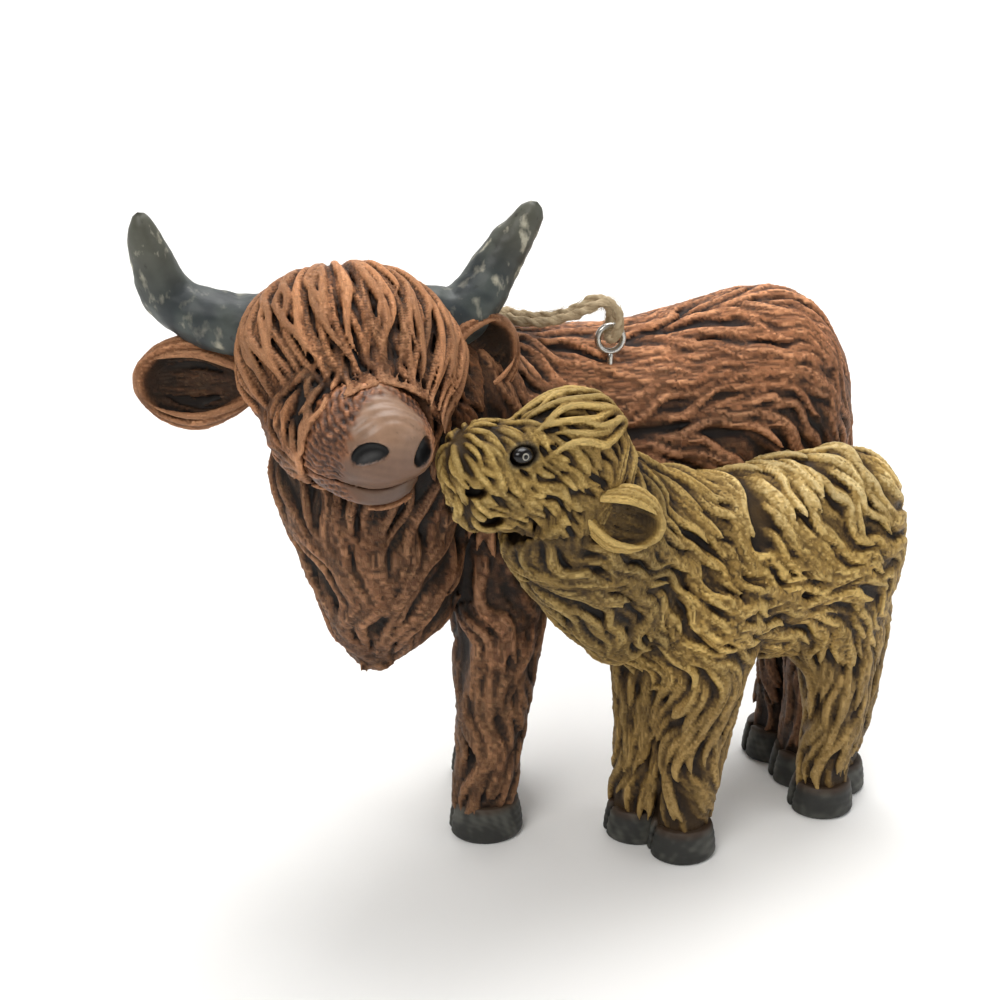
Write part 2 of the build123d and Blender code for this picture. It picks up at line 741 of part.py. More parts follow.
# Twine
nodes["twine_loop"] = twine_loop()
nodes["twine_knot"] = twine_knot() - nodes["twine_loop"]

# The middle of the animals' box goes over the origin
boxes = [shape.bounding_box() for name, shape in nodes.items() if not name.startswith("twine")]
middle_x = (min(box.min.X for box in boxes) + max(box.max.X for box in boxes)) / 2
middle_y = (min(box.min.Y for box in boxes) + max(box.max.Y for box in boxes)) / 2
os.makedirs("parts", exist_ok=True)
for name, shape in nodes.items():
    moved = Pos(-middle_x, -middle_y, 0) * shape
    print(name, moved.is_valid, round(moved.volume, 1), len(moved.solids()))
    export_step(moved, f"parts/{name}.step")
print("moved by", -middle_x, -middle_y)
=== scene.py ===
import bpy
import numpy as np
from math import cos, pi, radians, sin
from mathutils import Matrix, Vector


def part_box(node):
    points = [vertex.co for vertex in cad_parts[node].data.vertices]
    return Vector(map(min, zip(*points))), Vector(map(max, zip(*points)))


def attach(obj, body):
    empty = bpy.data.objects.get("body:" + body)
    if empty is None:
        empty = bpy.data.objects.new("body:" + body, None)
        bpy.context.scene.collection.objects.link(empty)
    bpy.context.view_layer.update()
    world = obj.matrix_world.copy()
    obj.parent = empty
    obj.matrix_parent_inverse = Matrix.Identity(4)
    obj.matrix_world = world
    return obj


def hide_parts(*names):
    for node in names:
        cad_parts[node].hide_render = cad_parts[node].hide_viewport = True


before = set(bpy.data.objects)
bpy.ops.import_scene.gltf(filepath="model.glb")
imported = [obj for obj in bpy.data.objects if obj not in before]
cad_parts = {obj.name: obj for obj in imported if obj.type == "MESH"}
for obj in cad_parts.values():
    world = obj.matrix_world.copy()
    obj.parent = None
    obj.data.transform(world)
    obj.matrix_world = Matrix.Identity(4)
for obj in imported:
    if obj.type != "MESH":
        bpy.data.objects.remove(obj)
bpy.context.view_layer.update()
scene = bpy.context.scene
coarse = 1.0

# Hanging ornament: a cast, hand-painted horned cow with her calf, and a jute loop through a screw eye.
# Shapes are worked out in millimetres with the cow's own ground point as origin, then moved by MOVE, which
# brings the screw eye to its place in the CAD.
MM = 1000
EYE_PLACE = np.array([11.0, 5.2, 73.4])
low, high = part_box("screw_eye")
MOVE = np.array([(low[axis] + high[axis]) / 2 * MM - EYE_PLACE[axis] for axis in (0, 1)] + [0.0])
DOWN = (0.0, 0.0, -1.0)
UP = (0.0, 0.0, 1.0)
EAST = (1.0, 0.0, 0.0)
NORTH = (0.0, 1.0, 0.0)
rng = np.random.default_rng(7)


def rgb(red, green, blue):
    """A display colour as the linear one that shaders and attributes hold."""
    return (np.array([red, green, blue], float) / 255) ** 2.2


def ease(value, low, high):
    """0 below low, 1 above high, and the smooth cubic step between."""
    share = np.clip((value - low) / (high - low), 0, 1)
    return share * share * (3 - 2 * share)


def lerp(first, second, share):
    """Colours or vectors between two, by a share for each row."""
    return first + (np.asarray(second) - first) * np.asarray(share)[..., None]


def unit(rows):
    return rows / np.maximum(np.linalg.norm(rows, axis=-1, keepdims=True), 1e-9)


def run_along(path):
    """How far along its path each point lies, from 0 at the first."""
    return np.concatenate([[0], np.cumsum(np.linalg.norm(np.diff(path, axis=0), axis=-1))])


def placed(name, data):
    """A new object that holds the data, put in the scene."""
    thing = bpy.data.objects.new(name, data)
    scene.collection.objects.link(thing)
    return thing


# Camera, at the place from which the photograph is taken
CAMERA_TILT, CAMERA_TURN = 71, -12
camera = placed("camera", bpy.data.cameras.new("camera"))
camera.location = (-0.045476, -0.176476, 0.115)
camera.rotation_euler = (radians(CAMERA_TILT), 0, radians(CAMERA_TURN))
camera.data.lens = 50.4
camera.data.sensor_width = 36
camera.data.clip_start = 0.01
scene.camera = camera


class Paint:
    """A material in the making. add() makes a node, sets it, and feeds its sockets."""

    def __init__(self, name, fixed):
        self.material = bpy.data.materials.new(name)
        self.material.use_nodes = True
        self.tree = self.material.node_tree
        self.shader = self.tree.nodes["Principled BSDF"]
        for socket, value in fixed.items():
            self.shader.inputs[socket].default_value = value

    def feed(self, socket, value):
        if isinstance(value, Term):
            self.tree.links.new(value.socket, socket)
        elif socket.type == "RGBA":
            socket.default_value = (*value, 1.0)
        else:
            socket.default_value = value

    def add(self, kind, settings, sockets, output=0):
        node = self.tree.nodes.new(kind)
        for name, value in settings.items():
            setattr(node, name, value)
        for name, value in sockets.items():
            self.feed(node.inputs[name], value)
        return Term(self, node.outputs[output])

    def attribute(self, name, output):
        return self.add("ShaderNodeAttribute", {"attribute_name": name}, {}, output)

    def place(self):
        """The object's own coordinates."""
        return self.add("ShaderNodeTexCoord", {}, {}, 3)

    def noise(self, vector, scale, detail=3.0):
        return self.add(
            "ShaderNodeTexNoise", {}, {"Vector": vector, "Scale": scale, "Detail": detail}
        )

    def mix(self, factor, first, second, blend="MIX"):
        """Colours mix through a Mix node, whose colour sockets are its seventh and eighth."""
        settings = {"data_type": "RGBA", "blend_type": blend}
        return self.add("ShaderNodeMix", settings, {0: factor, 6: first, 7: second}, 2)

    def stretch(self, vector, amounts):
        return self.add("ShaderNodeVectorMath", {"operation": "MULTIPLY"}, {0: vector, 1: amounts})

    def finish(self, values):
        for name, value in values.items():
            self.feed(self.shader.inputs[name], value)
        return self.material

    def bump(self, height, strength, distance):
        sockets = {"Height": height, "Strength": strength, "Distance": distance}
        return self.add("ShaderNodeBump", {}, sockets)


class Term:
    """A socket that takes part in sums, each of which is a Math node."""

    def __init__(self, paint, socket):
        self.paint = paint
        self.socket = socket

    def sum(self, operation, first, second):
        return self.paint.add("ShaderNodeMath", {"operation": operation}, {0: first, 1: second})

    def __add__(self, other):
        return self.sum("ADD", self, other)

    __radd__ = __add__

    def __mul__(self, other):
        return self.sum("MULTIPLY", self, other)

    __rmul__ = __mul__

    def __sub__(self, other):
        return self.sum("SUBTRACT", self, other)

    def __rsub__(self, other):
        return self.sum("SUBTRACT", other, self)

    def __pow__(self, other):
        return self.sum("POWER", self, other)


# Outputs of an Attribute node, and how finely streaks repeat across a lock, along it and from lock to lock
COLOUR, VECTOR, VALUE = range(3)
BROAD_STREAKS = (3.4, 0.55, 6.0)
FINE_STREAKS = (9.0, 0.8, 9.0)


def painted_hair(name, rough, dust):
    """Carved hair under paint: its tint, with fine streaks along each lock and a dusting on the ridges."""
    paint = Paint(name, {"Specular IOR Level": 0.25})
    tint = paint.attribute("tint", COLOUR)
    strand = paint.attribute("strand", VECTOR)
    broad = paint.noise(paint.stretch(strand, BROAD_STREAKS), 1.0, 2.0)
    hair = paint.noise(paint.stretch(strand, FINE_STREAKS), 1.0, 2.0)
    place = paint.place()
    cloud = paint.noise(place, 160.0)
    grain = paint.noise(place, 1500.0)
    height = paint.attribute("height", VALUE)
    streaks = (broad * 0.9 + hair * 0.8 - 0.85) * height
    shade = streaks + cloud * 0.3 + 0.85
    colour = paint.mix(1.0, tint, shade, "MULTIPLY")
    brushed = height * ((hair * 1.7 - 0.45) ** 2.0) * (cloud * 1.4 - 0.1)
    colour = paint.mix(brushed * dust, colour, rgb(226, 196, 142))
    bump = paint.bump(streaks * 1.1 + grain * 0.12, 0.75, 0.0003)
    return paint.finish({
        "Base Color": colour,
        "Roughness": rough + grain * 0.16 - height * 0.06,
        "Normal": bump,
    })


def painted_skin(name, rough, relief, mottle, scale=420.0, chipped=False):
    """Smooth painted resin: its tint, mottled, glossy where its height mark is high, and pale and dark
    flecks by its chip mark where it is chipped."""
    paint = Paint(name, {"Specular IOR Level": 0.4})
    tint = paint.attribute("tint", COLOUR)
    gloss = paint.attribute("height", VALUE)
    place = paint.place()
    blot = paint.noise(place, scale, 4.0)
    grain = paint.noise(place, scale * 4.2, 3.0)
    shade = 1.0 - mottle + blot * mottle * 1.3 + grain * mottle * 0.7
    colour = paint.mix(1.0, tint, shade, "MULTIPLY")
    if chipped:
        flecks = paint.noise(paint.stretch(place, (1.0, 1.0, 0.6)), scale * 1.7, 6.0)
        pale = (flecks * 9.0 - 5.0) * paint.attribute("chip", VALUE)
        colour = paint.mix(pale, colour, rgb(168, 164, 146))
        colour = paint.mix(3.2 - flecks * 10.0, colour, rgb(24, 22, 20))
    return paint.finish({
        "Base Color": colour,
        "Roughness": rough + grain * 0.14 - gloss * (rough - 0.12),
        "Normal": paint.bump(blot * 0.6 + grain * 0.5, 0.4, relief),
    })


def place_mesh(name, points, faces, material, marks, nodes, body_name="figurine"):
    """Makes the object, with its marks as attributes, rides it on its body, and hides what it stands for."""
    mesh = bpy.data.meshes.new(name)
    points = (np.asarray(points, float) + MOVE) / MM
    faces = np.asarray(faces, np.int32)
    corners = faces.shape[1]
    mesh.vertices.add(len(points))
    mesh.vertices.foreach_set("co", points.ravel())
    mesh.loops.add(faces.size)
    mesh.loops.foreach_set("vertex_index", faces.ravel())
    mesh.polygons.add(len(faces))
    mesh.polygons.foreach_set("loop_start", np.arange(0, faces.size, corners, dtype=np.int32))
    mesh.update(calc_edges=True)
    mesh.shade_smooth()
    for mark, values in marks.items():
        values = np.asarray(values, np.float32)
        if mark == "tint":
            layer = mesh.attributes.new(mark, "FLOAT_COLOR", "POINT")
            values = np.concatenate([np.clip(values, 0, 1), np.ones((len(values), 1))], axis=1)
            layer.data.foreach_set("color", values.astype(np.float32).ravel())
        elif values.ndim == 2:
            layer = mesh.attributes.new(mark, "FLOAT_VECTOR", "POINT")
            layer.data.foreach_set("vector", values.ravel())
        else:
            layer = mesh.attributes.new(mark, "FLOAT", "POINT")
            layer.data.foreach_set("value", values)
    mesh.materials.append(material)
    thing = placed(name, mesh)
    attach(thing, body_name)
    if nodes:
        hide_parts(*nodes)
    print("piece", name, len(faces) * (corners - 2), "triangles")
    return thing


def tube_faces(steps, sides, closed=False):
    """Quads between neighbouring rings of a tube, and from the last ring to the first where it is closed."""
    ring, side = np.meshgrid(np.arange(steps if closed else steps - 1), np.arange(sides), indexing="ij")
    here, after = ring * sides, (side + 1) % sides
    there = (ring + 1) % steps * sides
    return np.stack([here + side, here + after, there + after, there + side], -1).reshape(-1, 4)


def triangles(quads):
    return np.concatenate([quads[:, [0, 1, 2]], quads[:, [0, 2, 3]]])


def rings(path, across, rise, radii, sides):
    """Rings of points about a path, or about many at once, in the plane of across and rise."""
    turn = (np.arange(sides) * 2 * pi / sides)[:, None]
    ring = across[..., None, :] * np.cos(turn) + rise[..., None, :] * np.sin(turn)
    return (path[..., None, :] + ring * radii[..., None]).reshape(-1, 3)


def tube(points, radii, sides, up=UP):
    """A round tube's points along a path: rings square to it, closed where their radii fall to nothing."""
    points = np.asarray(points, float)
    along = unit(np.gradient(points, axis=0))
    across = unit(np.cross(along, np.broadcast_to(up, along.shape)))
    radii = np.asarray(radii, float)
    if radii.ndim == 1:
        radii = radii[:, None]
    return rings(points, across, np.cross(across, along), radii, sides)


def merged(parts):
    """Parts of one mesh, each given by its points and faces, as one set of both."""
    starts = np.cumsum([0] + [len(points) for points, _ in parts])
    faces = [part[1] + start for part, start in zip(parts, starts)]
    return np.vstack([part[0] for part in parts]), np.vstack(faces)


def smooth_path(corners, count):
    """Points on a Catmull-Rom curve through the corners, evenly spread over its parameter."""
    corners = np.asarray(corners, float)
    padded = np.vstack([2 * corners[0] - corners[1], corners, 2 * corners[-1] - corners[-2]])
    place = np.linspace(0, len(corners) - 1, count)
    first = np.minimum(place.astype(int), len(corners) - 2)
    t = (place - first)[:, None]
    a, b, c, d = (padded[first + step] for step in range(4))
    return 0.5 * (
        2 * b + (c - a) * t + (2 * a - 5 * b + 4 * c - d) * t**2 + (3 * b - a - 3 * c + d) * t**3
    )


# Bodies: the same lofted masses as the CAD's, as distances

def facing(place, yaw, pitch):
    """Origin and axes of a plane that faces -Y, turned by yaw towards +X and dipped by pitch."""
    yaw, pitch = radians(yaw), radians(pitch)
    ahead = np.array([sin(yaw) * cos(pitch), -cos(yaw) * cos(pitch), -sin(pitch)])
    across = np.array([cos(yaw), sin(yaw), 0.0])
    return np.array(place, float), across, np.cross(ahead, across), ahead


def turned(place, across, ahead):
    across, ahead = np.array(across, float), np.array(ahead, float)
    return np.array(place, float), across, np.cross(ahead, across), ahead


class Body:
    """Ellipses square to an axis. Rows hold along, across, rise, broad and tall, as shares."""

    def __init__(self, axes, length, width, height, rows, blend=3.0):
        self.origin, self.x, self.y, self.z = axes
        self.length = length
        self.blend = blend
        rows = smooth_path(rows, 12 * len(rows))
        self.along = np.maximum.accumulate(rows[:, 0])
        self.across = rows[:, 1] * width
        self.rise = rows[:, 2] * height
        self.wide = np.maximum(rows[:, 3] * width / 2, 0.05)
        self.tall = np.maximum(rows[:, 4] * height / 2, 0.05)
        pace = np.maximum(np.gradient(self.along * length), 1e-3)
        lean = np.clip(np.gradient(np.minimum(self.wide, self.tall)) / pace, -2, 2)
        lean = np.convolve(np.pad(lean, 6, "edge"), np.ones(13) / 13, "valid")
        self.lean = np.sqrt(1 + lean**2)
        centres = self.origin + self.x * self.across[:, None] + self.y * self.rise[:, None]
        centres = centres + self.z * self.along[:, None] * length
        reach = np.maximum(self.wide, self.tall)[:, None]
        self.low = (centres - reach).min(0)
        self.high = (centres + reach).max(0)

    def at(self, name, share):
        return np.interp(share, self.along, getattr(self, name))

    def local(self, points):
        """How far the points are across, up and along the body's axes."""
        offset = points - self.origin
        return offset @ self.x, offset @ self.y, offset @ self.z

    def distance(self, points):
        """Scaled distance to the ellipse of the point's own section, and past the ends to the end."""
        across, rise, run = self.local(points)
        share = np.clip(run / self.length, 0, 1)
        across = across - self.at("across", share)
        rise = rise - self.at("rise", share)
        wide, tall = self.at("wide", share), self.at("tall", share)
        ratio = np.sqrt((across / wide) ** 2 + (rise / tall) ** 2)
        slope = np.sqrt((across / wide**2) ** 2 + (rise / tall**2) ** 2)
        side = np.where(
            ratio > 0.3, ratio * (ratio - 1) / np.maximum(slope, 1e-6), -0.7 * np.minimum(wide, tall)
        )
        side = side / self.at("lean", share)
        beyond = np.maximum(run - self.length, -run)
        return np.where(beyond > 0, np.hypot(np.maximum(side, 0), beyond), np.maximum(side, beyond))

    def surface(self, share, angle, lift):
        """The point on the section at a share of the length, at an angle from the y axis, plus lift."""
        wide, tall = self.at("wide", share) + lift, self.at("tall", share) + lift
        across = self.at("across", share) + np.sin(angle) * wide
        rise = self.at("rise", share) + np.cos(angle) * tall
        return (
            self.origin + self.z * (share * self.length)[..., None]
            + self.x * across[..., None] + self.y * rise[..., None]
        )

    def normal(self, share, angle):
        """The way out of the section there."""
        wide, tall = self.at("wide", share), self.at("tall", share)
        return unit(self.x * (np.sin(angle) / wide)[..., None] + self.y * (np.cos(angle) / tall)[..., None])


class Ball:
    """An ellipsoid given by its place, its axes and its radii."""

    def __init__(self, place, axes, radii, blend=1.0):
        self.origin, self.axes = np.array(place, float), np.array(axes, float)
        self.radii = np.array(radii, float)
        self.blend = blend
        self.low, self.high = self.origin - max(radii), self.origin + max(radii)

    def distance(self, points):
        offset = (points - self.origin) @ self.axes.T
        ratio = np.linalg.norm(offset / self.radii, axis=-1)
        slope = np.linalg.norm(offset / self.radii**2, axis=-1)
        return ratio * (ratio - 1) / np.maximum(slope, 1e-4)


def join(first, second, blend):
    """Two distances as one, rounded over blend where they are near each other."""
    near = np.maximum(blend - np.abs(first - second), 0)
    return np.minimum(first, second) - near * near / (4 * blend)


FAR = 9.0  # stands for the distance where nothing is near


def whole(bodies, points):
    """The distance to the bodies as one form."""
    result = np.full(points.shape[:-1], FAR)
    for body in bodies:
        result = join(result, body.distance(points), body.blend)
    return result


def outward(bodies, points):
    """The direction in which the bodies' distance grows, by differences over a fifth of a millimetre."""
    step = 0.2
    grown = [whole(bodies, points + step * axis) - whole(bodies, points - step * axis) for axis in np.eye(3)]
    return unit(np.stack(grown, -1))


def softened(field):
    """Each cell becomes half itself and a quarter of each neighbour, along one axis after another."""
    for axis in range(3):
        field = (np.roll(field, 1, axis) + 2 * field + np.roll(field, -1, axis)) / 4
    return field


class Grid:
    """Evenly spaced points in a box, with the distance to the bodies and to the nearest lock at each."""

    BODY_MARGIN = 4  # how far about a body its distance is worked out
    LOCK_LAYER = 2.6  # locks are laid only this near the bodies' surface
    LOCK_BLEND = 0.15
    LIMIT = 1.5  # distances beyond this are cut off
    SHARP, SOFT = 0.6, 0.4  # shares of the plain and the softened distances in the surface
    EDGE, EDGE_DIP = 0.7, 0.35  # width of the strip beyond a region, and how far the surface dips there

    def __init__(self, low, high, cell, bodies, sink):
        self.low = np.array(low, float)
        self.cell = cell * coarse
        self.shape = np.ceil((np.array(high, float) - self.low) / self.cell).astype(int) + 1
        self.base = np.full(self.shape, FAR, np.float32)
        self.lock = np.full(self.shape, FAR, np.float32)
        self.marks = np.zeros((*self.shape, 3), np.float32)
        for body in bodies:
            block = self.block(body.low - self.BODY_MARGIN, body.high + self.BODY_MARGIN)
            if min(part.stop - part.start for part in block) > 0:
                points = self.points(block)
                self.base[block] = join(self.base[block], body.distance(points), body.blend)
        self.base += sink

    def block(self, low, high):
        first = np.clip(((low - self.low) / self.cell).astype(int), 0, self.shape)
        last = np.clip(((high - self.low) / self.cell).astype(int) + 2, 0, self.shape)
        return tuple(slice(a, b) for a, b in zip(first, last))

    def points(self, block):
        axes = [self.low[i] + self.cell * np.arange(part.start, part.stop) for i, part in enumerate(block)]
        return np.stack(np.meshgrid(*axes, indexing="ij"), -1).astype(np.float32)

    def lay(self, locks):
        """Adds each lock as a flattened round strip with fine ridges, keeping the nearest one's marks."""
        for path, normal, wide, thick, tone in zip(*locks):
            margin = wide.max() + 0.5
            block = self.block(path.min(0) - margin, path.max(0) + margin)
            if min(part.stop - part.start for part in block) < 1:
                continue
            near = np.abs(self.base[block]) < self.LOCK_LAYER
            points = self.points(block)[near]
            if not len(points):
                continue
            gap = (path**2).sum(-1)[None] - 2 * points @ path.T
            nearest = gap.argmin(1)
            along = unit(np.gradient(path, axis=0))
            across = unit(np.cross(along, normal))
            up = np.cross(across, along)
            offset = points - path[nearest]
            run = (offset * along[nearest]).sum(-1)
            side = (offset * across[nearest]).sum(-1)
            rise = (offset * up[nearest]).sum(-1)
            spacing = np.linalg.norm(np.diff(path, axis=0), axis=-1).mean()
            place = nearest + run / spacing
            count = np.arange(len(path))
            half = np.interp(place, count, wide)
            deep = np.interp(place, count, thick)
            over = np.maximum(np.maximum(-place, place - count[-1]), 0) * spacing
            share = side / half
            ridge = 0.26 * np.cos(2 * pi * (share * 1.25 + tone * 3)) * (1 - 0.5 * share**2)
            ratio = np.sqrt(share**2 + (rise / (deep * (1 + ridge))) ** 2 + (over / deep) ** 2)
            distance = (ratio - 1) * deep
            best = self.lock[block][near]
            marks = self.marks[block][near]
            closer = distance < best
            best[closer] = distance[closer]
            marks[closer] = np.stack([share, place * spacing, np.full(len(share), tone)], -1)[closer]
            self.lock[block][near] = best
            self.marks[block][near] = marks

    def skin(self, region=None, extra=None):
        """Vertices, quads and marks of the surface, by a surface net.

        The last mark is the crease: how far a softened copy of the distances lies above them,
        which is above 0 on ridges and below 0 in grooves.
        """
        field = join(self.base, self.lock, self.LOCK_BLEND)
        if extra is not None or region is not None:
            points = self.points(tuple(slice(0, n) for n in self.shape))
        if extra is not None:
            field = extra(points, field)
        field = np.clip(field, -self.LIMIT, self.LIMIT)
        soft = softened(field)
        field = level = self.SHARP * field + self.SOFT * soft
        for _ in range(max(1, round(0.6 / self.cell**2))):
            soft = softened(soft)
        if region is not None:
            edge = region(points)
            dip = self.EDGE_DIP * np.clip(edge / self.EDGE, 0, 1)
            field = np.maximum(field + dip, edge - self.EDGE)
        for axis in range(3):
            ends = [slice(None)] * 3
            for end in (0, -1):
                ends[axis] = end
                field[tuple(ends)] = 1.0
        points, quads = surface_net(field)
        nearest = tuple(np.rint(points).astype(int).T)
        over = self.base[nearest]
        self.marks[..., 2] = softened(softened(self.marks[..., 2]))
        marks = self.marks[nearest]
        crease = soft[nearest] - level[nearest]
        return self.low + points * self.cell, quads, over, marks, crease


def surface_net(field):
    """One vertex in each cell that the surface crosses, at the mean of its crossings of the cell's
    edges, and one quad round each grid edge that the surface crosses."""
    inside = field < 0
    total = np.zeros([n - 1 for n in field.shape], np.int8)
    corners = [(a, b, c) for a in (0, 1) for b in (0, 1) for c in (0, 1)]
    for a, b, c in corners:
        ends = [n - 1 + step for n, step in zip(field.shape, (a, b, c))]
        total += inside[a:ends[0], b:ends[1], c:ends[2]]
    cells = np.argwhere((total > 0) & (total < 8))
    number = np.full(total.shape, -1, np.int32)
    number[tuple(cells.T)] = np.arange(len(cells))
    place = np.zeros((len(cells), 3))
    count = np.zeros(len(cells))
    for corner in corners:
        for axis in range(3):
            if corner[axis]:
                continue
            other = list(corner)
            other[axis] = 1
            first = field[tuple((cells + corner).T)]
            second = field[tuple((cells + other).T)]
            crossed = (first < 0) != (second < 0)
            share = np.where(crossed, first / np.where(crossed, first - second, 1), 0)
            spot = np.array(corner, float) + share[:, None] * np.eye(3)[axis]
            place += spot * crossed[:, None]
            count += crossed
    points = cells + place / count[:, None]
    quads = []
    for axis in range(3):
        second = [slice(None)] * 3
        first = [slice(None)] * 3
        first[axis], second[axis] = slice(0, -1), slice(1, None)
        crossing = inside[tuple(first)] != inside[tuple(second)]
        edges = np.argwhere(crossing)
        one, two = (axis + 1) % 3, (axis + 2) % 3
        edges = edges[(edges[:, one] > 0) & (edges[:, two] > 0)]
        step_one, step_two = np.eye(3, dtype=int)[one], np.eye(3, dtype=int)[two]
        ring = [edges - step_one - step_two, edges - step_two, edges, edges - step_one]
        quad = np.stack([number[tuple(cell.T)] for cell in ring], -1)
        leaving = inside[tuple(edges.T)]
        quads.append(np.where(leaving[:, None], quad, quad[:, ::-1]))
    return points, np.concatenate(quads)


def waves(places, seed, scale, count=7):
    """A smooth wander from -1 to 1: the mean of some sines in random directions."""
    own = np.random.default_rng(seed)
    result = 0
    for turn in range(count):
        way = own.normal(size=3) * scale * (1 + 0.45 * turn)
        result = result + np.sin(places @ way + own.uniform(0, 6.3)) / (1 + 0.35 * turn)
    return result / 2.2


LOCK_PLACES = (0.0, 0.12, 0.3, 0.5, 0.7, 0.86, 0.95, 1.0)
LOCK_WIDTHS = (0.42, 0.8, 1.0, 1.0, 0.84, 0.56, 0.3, 0.12)


def trace(bodies, seeds, flow, length, wide, thick, lifts, wave=0.35, turns=1.1, samples=14):
    """Locks that follow the flow over the bodies from their seeds, swinging from side to side."""
    count = len(seeds)
    length = length * rng.uniform(0.75, 1.25, count)
    phase = rng.uniform(0, 2 * pi, count)
    swing = wave * rng.uniform(0.5, 1.3, count)
    points = seeds.copy()
    path, normals = [], []
    for step in range(samples):
        share = step / (samples - 1)
        normal = outward(bodies, points)
        lift = lifts[0] + (lifts[1] - lifts[0]) * share
        points = points - (whole(bodies, points) - lift)[:, None] * normal
        path.append(points)
        normals.append(normal)
        ahead = flow(points)
        ahead = unit(ahead - (ahead * normal).sum(-1)[:, None] * normal)
        drift = 1.5 * wave * waves(points, 21, 0.16)
        angle = (drift + 0.5 * swing * np.sin(2 * pi * turns * share + phase))[:, None]
        ahead = np.cos(angle) * ahead + np.sin(angle) * np.cross(normal, ahead)
        points = points + ahead * (length / (samples - 1))[:, None]
    return strands(np.stack(path, 1), np.stack(normals, 1), wide, thick)


def strands(path, normals, wide, thick, vary=0.22):
    """Gives each path a lock's taper, a size of its own and a tone from 0 to 1."""
    count, samples = path.shape[:2]
    share = np.linspace(0, 1, samples)
    taper = np.interp(share, LOCK_PLACES, LOCK_WIDTHS)
    own = rng.uniform(1 - vary, 1 + vary, count)[:, None]
    depth = np.maximum(taper, 0.22)
    tones = rng.uniform(0, 1, count)
    return [path, normals, own * wide * taper, own * thick * depth, tones]


def gather(*groups):
    """Groups of locks as one list of locks, whatever their counts of points."""
    return [[item for group in groups for item in group[part]] for part in range(5)]


def scatter(bodies, spacing, keep):
    """Seeds on the bodies' surface, one in each cube of the spacing that the surface passes through."""
    low = np.min([body.low for body in bodies], axis=0)
    high = np.max([body.high for body in bodies], axis=0)
    count = np.ceil((high - low) / spacing).astype(int)
    cells = np.stack(np.meshgrid(*[np.arange(n) for n in count], indexing="ij"), -1).reshape(-1, 3)
    points = low + (cells + rng.uniform(0, 1, cells.shape)) * spacing
    distance = whole(bodies, points)
    near = np.abs(distance) < 0.62 * spacing
    points = points[near]
    points = points - whole(bodies, points)[:, None] * outward(bodies, points)
    return points[keep(points)]


COW_TORSO = (
    (0.0, 0, 0.08, 0, 0), (0.012, 0, 0.08, 0.34, 0.36), (0.05, 0, 0.075, 0.66, 0.68),
    (0.12, 0, 0.06, 0.90, 0.93), (0.22, 0, 0.045, 1.0, 1.02), (0.36, 0, 0.01, 1.03, 0.98),
    (0.52, 0, -0.02, 1.04, 0.935), (0.68, 0, -0.01, 1.04, 0.93), (0.80, 0, 0, 1.02, 0.92),
    (0.90, 0, 0.02, 0.88, 0.78), (0.965, 0, 0.03, 0.60, 0.52), (0.99, 0, 0.03, 0.32, 0.28),
    (1.0, 0, 0.03, 0, 0),
)
COW_MANE = (
    (0.0, 0, -0.04, 0.80, 0.92), (0.22, 0, -0.05, 0.97, 1.08), (0.46, 0, 0, 1.0, 0.98),
    (0.66, 0, 0.05, 0.90, 0.88), (0.83, 0, 0.05, 0.66, 0.70), (0.95, 0, -0.02, 0.34, 0.36),
    (0.99, 0, -0.05, 0.16, 0.17), (1.0, 0, -0.06, 0, 0),
)
COW_HEAD = (
    (0.0, 0, 0, 0, 0), (0.02, 0, 0, 0.34, 0.36), (0.08, 0, 0, 0.64, 0.66), (0.18, 0, 0, 0.88, 0.90),
    (0.32, 0, 0, 1.0, 1.0), (0.50, 0, 0, 1.0, 0.97), (0.66, 0, -0.01, 0.84, 0.84),
    (0.83, 0, -0.02, 0.60, 0.68), (1.0, 0, -0.02, 0.48, 0.60),
)
CALF_TORSO = (
    (0.0, 0, 0.03, 0, 0), (0.015, 0, 0.03, 0.34, 0.36), (0.07, 0, 0.03, 0.70, 0.72),
    (0.18, 0, 0.02, 0.93, 0.96), (0.34, 0, 0, 1.0, 1.0), (0.50, 0, -0.02, 1.02, 0.96),
    (0.64, 0, -0.02, 1.02, 0.93), (0.78, 0, 0, 1.0, 0.98), (0.90, 0, 0, 0.80, 0.80),
    (0.98, 0, 0, 0.40, 0.40), (1.0, 0, 0, 0, 0),
)
CALF_HEAD = (
    (0.0, 0, 0, 0, 0), (0.02, 0, 0, 0.32, 0.34), (0.09, 0, 0, 0.68, 0.70), (0.22, 0, 0, 0.95, 0.96),
    (0.40, 0, 0, 1.0, 1.0), (0.56, 0, -0.05, 0.88, 0.92), (0.72, 0, -0.10, 0.72, 0.80),
    (0.88, 0, -0.12, 0.62, 0.70), (0.97, 0, -0.11, 0.38, 0.42), (1.0, 0, -0.11, 0, 0),
)
NECK = ((0.0, 0, 0, 0.95, 1.0), (0.35, 0, 0, 1.0, 1.0), (0.70, 0, 0, 0.95, 0.92), (1.0, 0, 0, 0.80, 0.78))
EAR = (
    (0.0, 0, 0, 0.60, 0.30), (0.22, 0, 0, 0.90, 0.72), (0.48, 0, 0, 1.0, 1.0), (0.74, 0, 0, 0.88, 0.86),
    (0.92, 0, 0, 0.56, 0.50), (0.985, 0, 0, 0.26, 0.22), (1.0, 0, 0, 0, 0),
)
FORELEG = (
    (0.0, 0, 0, 0.98, 0.93), (0.12, 0, 0, 0.98, 0.90), (0.35, 0.12, 0, 1.08, 0.98),
    (0.60, 0.18, 0, 1.35, 1.18), (0.82, 0.20, 0, 1.65, 1.42), (1.0, 0.20, 0, 1.75, 1.45),
)
